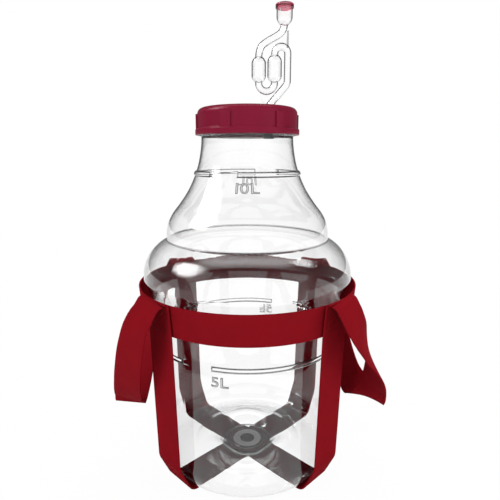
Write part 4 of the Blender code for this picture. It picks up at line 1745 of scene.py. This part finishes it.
@dataclass
class Harness:
    """Band, two crossed base straps and two carrying loops.

    A loop's rows are its shares along, out and down from the crests and the turn of its width in degrees.
    """

    webbing: Webbing
    clearance: float = 0.0003
    band_top: float = 0.2095
    band_height: float = 0.0315
    band_top_radius: float = 0.1198
    band_taper: float = 0.0026
    heel_radius: float = 0.1142
    heel_height: float = 0.0330
    flat_radius: float = 0.0990
    heel_bend: float = 0.0120
    side_bend: float = 0.0200
    band_bend: float = 0.0500
    crest_bend: float = 0.0040
    crest_rise: float = 0.0025
    crest_overhang: float = 0.0008
    crossing_ramp: float = 0.0100
    azimuths_deg: Pair = (45.0, 135.0)
    loop_gap: float = 0.0009
    loop_reach: float = 0.0520
    loop_drop: float = 0.1570
    loop_samples: int = 10
    loop_ease: float = 0.0140
    bend_depth: float = 0.0220
    band_steps: int = 192
    longest_step: float = 0.008
    ramp_samples: int = 6
    heel_steps: int = 12
    side_steps: int = 10
    corner_steps: int = 6
    crest_steps: int = 12

    LEFT_LOOP = (
        (-1.000, 0.000, 0.000, -45.0), (-1.030, 0.055, 0.008, -45.0), (-1.045, 0.120, 0.045, -45.0),
        (-1.088, 0.283, 0.149, -42.6), (-0.986, 0.466, 0.345, -40.8), (-0.765, 0.639, 0.568, -38.0),
        (-0.498, 0.780, 0.753, -33.5), (-0.257, 0.881, 0.874, -25.7), (-0.085, 0.950, 0.948, -18.7),
        (0.015, 0.977, 1.000, -21.3), (0.145, 0.884, 0.933, -31.6), (0.338, 0.767, 0.773, -46.0),
        (0.564, 0.631, 0.574, -63.4), (0.773, 0.470, 0.389, -79.3), (0.928, 0.401, 0.243, -91.4),
        (1.024, 0.286, 0.140, -107.8), (1.048, 0.158, 0.059, -124.6), (1.030, 0.055, 0.008, -135.0),
        (1.000, 0.000, 0.000, -135.0),
    )
    RIGHT_LOOP = (
        (-1.000, 0.000, 0.000, 45.0), (-1.030, 0.055, 0.008, 45.0), (-1.055, 0.135, 0.058, 46.0),
        (-1.060, 0.270, 0.147, 53.0), (-0.944, 0.461, 0.260, 65.6), (-0.746, 0.658, 0.399, 79.2),
        (-0.546, 0.898, 0.570, 96.1), (-0.305, 1.039, 0.748, 113.8), (-0.127, 1.056, 0.905, 134.3),
        (0.063, 1.032, 0.968, 147.0), (0.270, 0.979, 0.976, 147.5), (0.407, 0.870, 0.940, 142.0),
        (0.520, 0.716, 0.825, 136.5), (0.671, 0.551, 0.632, 135.0), (0.853, 0.394, 0.389, 136.5),
        (0.990, 0.238, 0.173, 136.1), (1.045, 0.120, 0.045, 135.0), (1.030, 0.055, 0.008, 135.0),
        (1.000, 0.000, 0.000, 135.0),
    )

    def __post_init__(self) -> None:
        """Work out the crest, where a base strap folds outwards into its loop."""
        half = self.webbing.thickness / 2
        self.band_bottom = self.band_top - self.band_height
        self.band_bottom_radius = self.band_top_radius - self.band_taper
        self.clear = self.clearance + half
        self.crest_z = self.band_top + self.crest_rise
        self.crest_radius = self.band_top_radius + self.clear + self.crest_bend + self.crest_overhang
        self.crest_offset = (self.crest_radius + self.loop_gap) * math.sqrt(0.5)

    def band(self, finish: Material) -> Piece:
        """Build the band round the bottle.

        Args:
            finish: The material it gets.

        Returns:
            The finished piece.
        """
        half = self.webbing.thickness / 2
        radius = (self.band_top_radius + self.band_bottom_radius) / 2 - half
        steps = range(self.band_steps + 1)
        turns = [math.tau * step / self.band_steps + math.pi / 2 for step in steps]
        outs = [Vector((math.cos(turn), math.sin(turn), 0.0)) for turn in turns]
        middle = Vector((0.0, 0.0, (self.band_top + self.band_bottom) / 2))
        centres = [out * radius + middle for out in outs]
        widths = [out * self.band_taper + Vector((0.0, 0.0, self.band_height)) for out in outs]
        band = self.webbing.strap("band_webbing", centres, widths, finish, True, self.band_height)
        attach(band, Body.HARNESS.value)
        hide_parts("band_strap")
        return band

    def half_route(self, lift: float) -> list[Pair]:
        """Return (distance, height) from the middle of a base strap out and up to its crest.

        Args:
            lift: How much higher the strap lies where it crosses the other one.

        Returns:
            The points, from the middle to the crest.
        """
        low = self.webbing.thickness / 2
        flat, heel = (self.flat_radius, low), (self.heel_radius, self.heel_height)
        side = (self.band_bottom_radius + self.clear, self.band_bottom)
        lean = self.band_taper / self.band_height
        corner = (self.band_top_radius + self.clear + lean * self.crest_rise, self.crest_z)
        end = (self.crest_radius + self.loop_gap / 2, self.crest_z)
        edge = self.webbing.width / 2 + self.clearance
        path = [(0.0, low + lift)]
        if lift:
            ramp = [(edge, low + lift), (edge + self.crossing_ramp, low)]
            path += Curves.smooth(ramp, self.ramp_samples)
        path += Curves.fillet(flat, (0.0, low), heel, self.heel_bend, self.heel_steps)
        path += Curves.fillet(heel, flat, side, self.side_bend, self.side_steps)
        path += Curves.fillet(side, heel, corner, self.band_bend, self.corner_steps)
        path += Curves.fillet(corner, side, end, self.crest_bend, self.crest_steps)
        return path + [end]

    @staticmethod
    def filled(path: Sequence[Pair], step: float) -> list[Pair]:
        """Add points so that no stretch of a path is longer than a step.

        Args:
            path: The path.
            step: The longest step.

        Returns:
            The path with its new points.
        """
        line = [path[0]]
        for before, after in zip(path, path[1:]):
            pieces = max(1, math.ceil(math.dist(before, after) / step))
            line += Bottle.rows_down(before, after, pieces)
        return line

    def base_strap(self, number: int, finish: Material) -> Piece:
        """Build one strap that runs under the base from crest to crest.

        Args:
            number: 0 for the strap that lies lower where the two cross, and 1 for the other one.
            finish: The material it gets.

        Returns:
            The finished piece.
        """
        turn = math.radians(self.azimuths_deg[number])
        away = Vector((math.cos(turn), math.sin(turn), 0.0))
        across = Vector((-away.y, away.x, 0.0))
        lift = (self.webbing.thickness + self.clearance) * number
        half = self.filled(self.half_route(lift), self.longest_step)
        path = [(-distance, height) for distance, height in reversed(half[1:])] + half
        centres = [away * distance + Vector((0.0, 0.0, height)) for distance, height in path]
        widths = [across] * len(centres)
        strap = self.webbing.strap(f"base_webbing_{number + 1}", centres, widths, finish)
        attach(strap, Body.HARNESS.value)
        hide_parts(f"base_strap_{number + 1}")
        return strap

    def loop(self, side: Side, finish: Material) -> Piece:
        """Build one carrying loop, which bends where it leaves the crests.

        Args:
            side: The loop's side.
            finish: The material it gets.

        Returns:
            The finished piece.
        """
        if side is Side.LEFT:
            name, body, shares = "left", Body.LEFT_LOOP, self.LEFT_LOOP
        else:
            name, body, shares = "right", Body.RIGHT_LOOP, self.RIGHT_LOOP
        stations = [
            (
                side.value * (self.crest_offset + self.loop_reach * out),
                self.crest_offset * along,
                self.crest_z - self.loop_drop * down,
                turn_deg,
            )
            for along, out, down, turn_deg in shares
        ]
        path = Curves.smooth(stations, self.loop_samples)
        centres = [Vector(point[:3]) for point in path]
        turns = [math.radians(point[3]) for point in path]
        widths = [Vector((math.cos(turn), math.sin(turn), 0.0)) for turn in turns]
        back = self.loop_gap / 2 + self.clearance
        for centre in (centres[0], centres[-1]):
            centre -= Vector((side.value, math.copysign(1.0, centre.y), 0.0)).normalized() * back
        strap = self.webbing.strap(f"{name}_loop_webbing", centres, widths, finish, ease=self.loop_ease)
        top = Vector((side.value * self.crest_offset, 0.0, self.crest_z - self.clearance))
        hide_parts(f"{name}_handle")
        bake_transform(strap)
        return strap


@dataclass
class Stitching:
    """Box stitching where each base strap crosses the band."""

    harness: Harness
    length: float = 0.0026
    pitch: float = 0.0036
    thick: float = 0.00042
    box_width: float = 0.0250
    box_height: float = 0.0230
    sides: int = 6
    end_inset: float = 0.45
    end_rise: float = 0.6
    sharp_deg: float = 40.0

    AZIMUTHS_DEG = (45.0, 135.0, 225.0, 315.0)
    END_COSINE = 0.9

    def stitch(self) -> Piece:
        """Make one stitch along X at the origin.

        Returns:
            The stitch.
        """
        Bench.clear()
        bpy.ops.mesh.primitive_cylinder_add(
            vertices=self.sides, radius=self.thick, depth=self.length,
            rotation=(0.0, math.radians(90.0), 0.0),
        )
        made = Bench.named("stitch")
        Bench.freeze(made)
        with Bench.edit(made):
            bpy.ops.mesh.select_all(action="DESELECT")
            shape = bmesh.from_edit_mesh(made.data)
            for face in shape.faces:
                face.select_set(abs(face.normal.x) > self.END_COSINE)
            bmesh.update_edit_mesh(made.data)
            bpy.ops.mesh.inset(thickness=self.thick * self.end_inset, depth=self.thick * self.end_rise)
        return made

    def lines(self) -> list[tuple[Pair, Pair]]:
        """Return the four sides and two diagonals of one box.

        Returns:
            The start and end of each line, from the middle of the box.
        """
        x, y = self.box_width / 2, self.box_height / 2
        corners = [(-x, -y), (x, -y), (x, y), (-x, y)]
        sides = list(zip(corners, corners[1:] + corners[:1]))
        return sides + [(corners[0], corners[2]), (corners[1], corners[3])]

    def boxes(self) -> list[tuple[Vector, Vector, Vector]]:
        """Return the middle, the way across and the way up of each stitched box.

        Returns:
            The three vectors of each box.
        """
        harness = self.harness
        lean = harness.band_taper / harness.band_height
        level = Vector((0.0, 0.0, (harness.band_top + harness.band_bottom) / 2))
        radius = harness.band_top_radius - harness.band_taper / 2 + 2 * harness.clear - harness.clearance
        placed = []
        for azimuth_deg in self.AZIMUTHS_DEG:
            turn = math.radians(azimuth_deg)
            out = Vector((math.cos(turn), math.sin(turn), 0.0))
            up = Vector((out.x * lean, out.y * lean, 1.0)).normalized()
            placed.append((out * radius + level, Vector((-out.y, out.x, 0.0)), up))
        return placed

    def build(self, finish: Material) -> Piece:
        """Build all stitches as one piece.

        Args:
            finish: The material it gets.

        Returns:
            The finished piece.
        """
        first = self.stitch()
        copies = []
        for middle, across, up in self.boxes():
            for start, end in self.lines():
                line = Vector(end) - Vector(start)
                count = int(line.length / self.pitch)
                for number in range(count):
                    share = (number + 0.5) / count
                    spot = Vector(start) + line * share
                    copy = first.copy()
                    copy.data = first.data.copy()
                    bpy.context.scene.collection.objects.link(copy)
                    along = (across * line.x + up * line.y).normalized()
                    copy.location = middle + across * spot.x + up * spot.y
                    copy.rotation_euler = along.to_track_quat("X", "Z").to_euler()
                    copies.append(copy)
        bpy.data.objects.remove(first, do_unlink=True)
        thread = Bench.join(copies, "box_stitches")
        Bench.freeze(thread)
        Bench.smooth(thread, self.sharp_deg)
        Bench.dress(thread, finish)
        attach(thread, Body.HARNESS.value)
        return thread


# Studio


@dataclass(frozen=True)
class SoftBox:
    """One soft square lamp: its place, its side in metres and its power in watts."""

    name: str
    place: Triple
    side: float
    power: float


@dataclass
class Studio:
    """White surroundings, soft lamps and the camera."""

    camera_place: Triple = (0.0, -0.4815, 0.3452)
    camera_pitch_deg: float = 12.087
    lens: float = 31.64
    shift: float = 0.0054
    sensor: float = 36.0
    nearest: float = 0.01
    fill: float = 0.58
    inner_fill: float = 0.16
    inner_depth: float = 4.5
    front_edge: Pair = (-0.75, 0.05)
    front_glow: float = 0.95
    side_glow: float = 0.14
    streak_stretch: Triple = (1.0, 1.0, 0.15)
    streak_scale: float = 3.2
    streak_glow: Pair = (0.55, 0.9)
    top_edge: Pair = (0.45, 0.95)
    top_dimming: float = 0.6
    spot: Triple = (-0.768, -0.069, 0.637)
    spot_edge: Pair = (0.925, 0.998)
    spot_glow: float = 16.0
    strip_y: float = 0.10
    strip_edge: Pair = (0.02, 0.42)
    strip_ends: Pair = (0.78, 0.94)
    strip_glow: float = 3.0
    floor_size: float = 12.0
    floor_glow: float = 0.97
    floor_fade: Pair = (0.30, 0.90)
    floor_colour: Colour = (0.86, 0.86, 0.86)
    aim_height: float = 0.22
    lamps: tuple[SoftBox, ...] = (
        SoftBox("key", (-0.75, -0.95, 1.25), 0.55, 9.5),
        SoftBox("side", (1.15, -0.55, 0.75), 0.80, 5.5),
        SoftBox("back", (0.35, 1.20, 1.10), 0.80, 17.0),
    )

    LOOKING = ("Is Camera Ray", "Is Glossy Ray", "Is Transmission Ray")

    def camera(self) -> None:
        """Set the camera at the picture's viewing angle."""
        data = bpy.data.cameras.new("camera")
        data.lens = self.lens
        data.sensor_width = self.sensor
        data.shift_x = self.shift
        data.clip_start = self.nearest
        camera = bpy.data.objects.new("camera", data)
        camera.location = self.camera_place
        camera.rotation_euler = (math.radians(90.0 - self.camera_pitch_deg), 0.0, 0.0)
        bpy.context.scene.collection.objects.link(camera)
        bpy.context.scene.camera = camera

    def surroundings(self) -> None:
        """Make a world that is white to look at, has bright fields for gloss and is dim as a fill."""
        world = bpy.data.worlds.new("studio")
        bpy.context.scene.world = world
        graph = Graph(world)
        way = graph.wire("TexCoord", None, None, "Generated")
        _, y, z = graph.axes(way)
        ahead = 1 - graph.step(y, *self.front_edge)
        flags = graph.wire("Mapping", None, {"Vector": way, "Scale": self.streak_stretch})
        dark, spread = self.streak_glow
        streaks = dark + graph.noise(flags, self.streak_scale, 1.0) * spread
        glow = (self.side_glow + ahead * (self.front_glow - self.side_glow)) * streaks
        glow = glow * (1 - graph.step(z, *self.top_edge) * self.top_dimming)
        spot = graph.step(graph.towards(way, Vector(self.spot)), *self.spot_edge)
        strip = graph.step(z, *self.strip_ends) * (1 - graph.step(abs(y - self.strip_y), *self.strip_edge))
        glow = glow + spot * spot * self.spot_glow + strip * self.strip_glow
        light = self.light_path(graph)
        seen = self.looked_at(graph, light) * graph.math("LESS_THAN", light["Diffuse Depth"], 0.5)
        mirrored = graph.math("GREATER_THAN", light["Glossy Depth"], 0.5)
        enclosed = graph.math("GREATER_THAN", light["Transmission Depth"], self.inner_depth)
        fill = self.fill + enclosed * (self.inner_fill - self.fill)
        level = fill + seen * (1 + mirrored * (glow - 1) - fill)
        shader = graph.node("Background", None, {"Color": WHITE, "Strength": level})
        graph.finish(shader, "OutputWorld")

    @staticmethod
    def light_path(graph: Graph) -> dict[str, Wire]:
        """Return what is known of a ray of light, by name."""
        path = graph.node("LightPath")
        return {name: Wire(graph, socket) for name, socket in path.outputs.items()}

    def looked_at(self, graph: Graph, light: dict[str, Wire]) -> Wire:
        """Return 1 for a ray that is looked along, also by way of gloss or glass, and 0 for others."""
        camera, gloss, glass = (light[name] for name in self.LOOKING)
        return graph.math("MINIMUM", camera + gloss + glass, 1.0)

    def floor(self) -> Piece:
        """Make the white floor, which keeps a soft shadow.

        Returns:
            The floor.
        """
        Bench.clear()
        bpy.ops.mesh.primitive_plane_add(size=self.floor_size)
        floor = Bench.named("studio_floor")
        material = bpy.data.materials.new("studio_white")
        graph = Graph(material)
        seen = self.looked_at(graph, self.light_path(graph))
        away = graph.wire("VectorMath", {"operation": "LENGTH"}, {0: graph.place()}, "Value")
        bright = self.floor_glow + graph.step(away, *self.floor_fade) * (1 - self.floor_glow)
        lit = graph.wire("BsdfDiffuse", None, {"Color": self.floor_colour})
        glow = graph.wire("Emission", None, {"Color": WHITE, "Strength": 1.0})
        graph.finish(graph.node("MixShader", None, {0: seen * bright, 1: lit, 2: glow}))
        floor.data.materials.append(material)
        return floor

    def lamp(self, box: SoftBox) -> None:
        """Add one lamp, turned towards the middle of the demijohn.

        Args:
            box: The lamp's place, size and power.
        """
        data = bpy.data.lights.new(box.name, "AREA")
        data.shape = "SQUARE"
        data.size = box.side
        data.energy = box.power
        lamp = bpy.data.objects.new(box.name, data)
        lamp.visible_glossy = False
        lamp.visible_transmission = False
        lamp.location = box.place
        way = Vector((0.0, 0.0, self.aim_height)) - Vector(box.place)
        lamp.rotation_euler = way.to_track_quat("-Z", "Y").to_euler()
        bpy.context.scene.collection.objects.link(lamp)

    def build(self) -> None:
        """Set up the whole studio."""
        self.camera()
        self.surroundings()
        self.floor()
        for box in self.lamps:
            self.lamp(box)
        bpy.context.scene.view_settings.view_transform = "Standard"


def main() -> None:
    """Build every piece of the demijohn and its studio."""
    logging.basicConfig(level=logging.INFO, format="%(message)s")
    webbing = Webbing()
    # The rim colours of the clear finishes below are painted shade at their edges.
    clear = ClearFinish("bottle_clear", tint=WHITE, painted_rim_shade=(0.50, 0.51, 0.51)).material()
    raised = ClearFinish(
        "figure_clear", tint=(0.97, 0.97, 0.97), painted_rim_shade=(0.20, 0.20, 0.20), rim_start=0.50, ripple=0.0,
    ).material()
    frosted = MouldedFinish(
        "gate_frost", colour=(0.66, 0.66, 0.66), shade=(0.60, 0.60, 0.60), roughness=0.6,
        grain_scale=1200.0, grain=0.2, gloss=0.3, transmission=0.15,
    ).material()
    bubbler = ClearFinish(
        "bubbler_clear", tint=WHITE, painted_rim_shade=(0.60, 0.61, 0.61), rim_start=0.45, ripple=0.0,
    ).material()
    burgundy = MouldedFinish(
        "cap_plastic", colour=(0.205, 0.0070, 0.030), shade=(0.192, 0.0062, 0.027), roughness=0.30,
        grain_scale=1400.0, grain=0.06, gloss=0.13,
    ).material()
    rubber = MouldedFinish(
        "bung_rubber", colour=(0.034, 0.034, 0.037), shade=(0.026, 0.026, 0.028), roughness=0.55,
        grain_scale=900.0,
    ).material()
    foam = MouldedFinish(
        "gasket_foam", colour=(0.82, 0.82, 0.80), shade=(0.74, 0.74, 0.72), roughness=0.65,
        grain_scale=1500.0, grain=0.2,
    ).material()
    tinted = ClearFinish(
        "dust_cap_plastic", tint=(0.66, 0.18, 0.25), painted_rim_shade=(0.40, 0.06, 0.10), rim_start=0.35, ripple=0.0,
    ).material()
    woven = WebbingFinish(
        "red_webbing", colour=(0.268, 0.0072, 0.0118), shade=(0.170, 0.0050, 0.0116),
        half_width=webbing.width / 2,
    ).material()
    thread = MouldedFinish(
        "red_thread", colour=(0.230, 0.006, 0.011), shade=(0.170, 0.004, 0.008), roughness=0.7,
        grain_scale=2500.0, grain=0.3, gloss=0.1,
    ).material()

    bottle = Bottle()
    harness = Harness(webbing)
    pieces = [
        bottle.build(clear),
        bottle.gate(frosted),
        LitreFigures(bottle).build(raised),
        Gasket().build(foam),
        ScrewCap().build(burgundy),
        Bung().build(rubber),
        Airlock().build(bubbler),
        DustCap().build(tinted),
        harness.band(woven),
        harness.base_strap(0, woven),
        harness.base_strap(1, woven),
        harness.loop(Side.LEFT, woven),
        harness.loop(Side.RIGHT, woven),
        Stitching(harness).build(thread),
    ]
    for piece in pieces:
        Bench.report(piece)
    Studio().build()


if __name__ == "__main__":
    main()
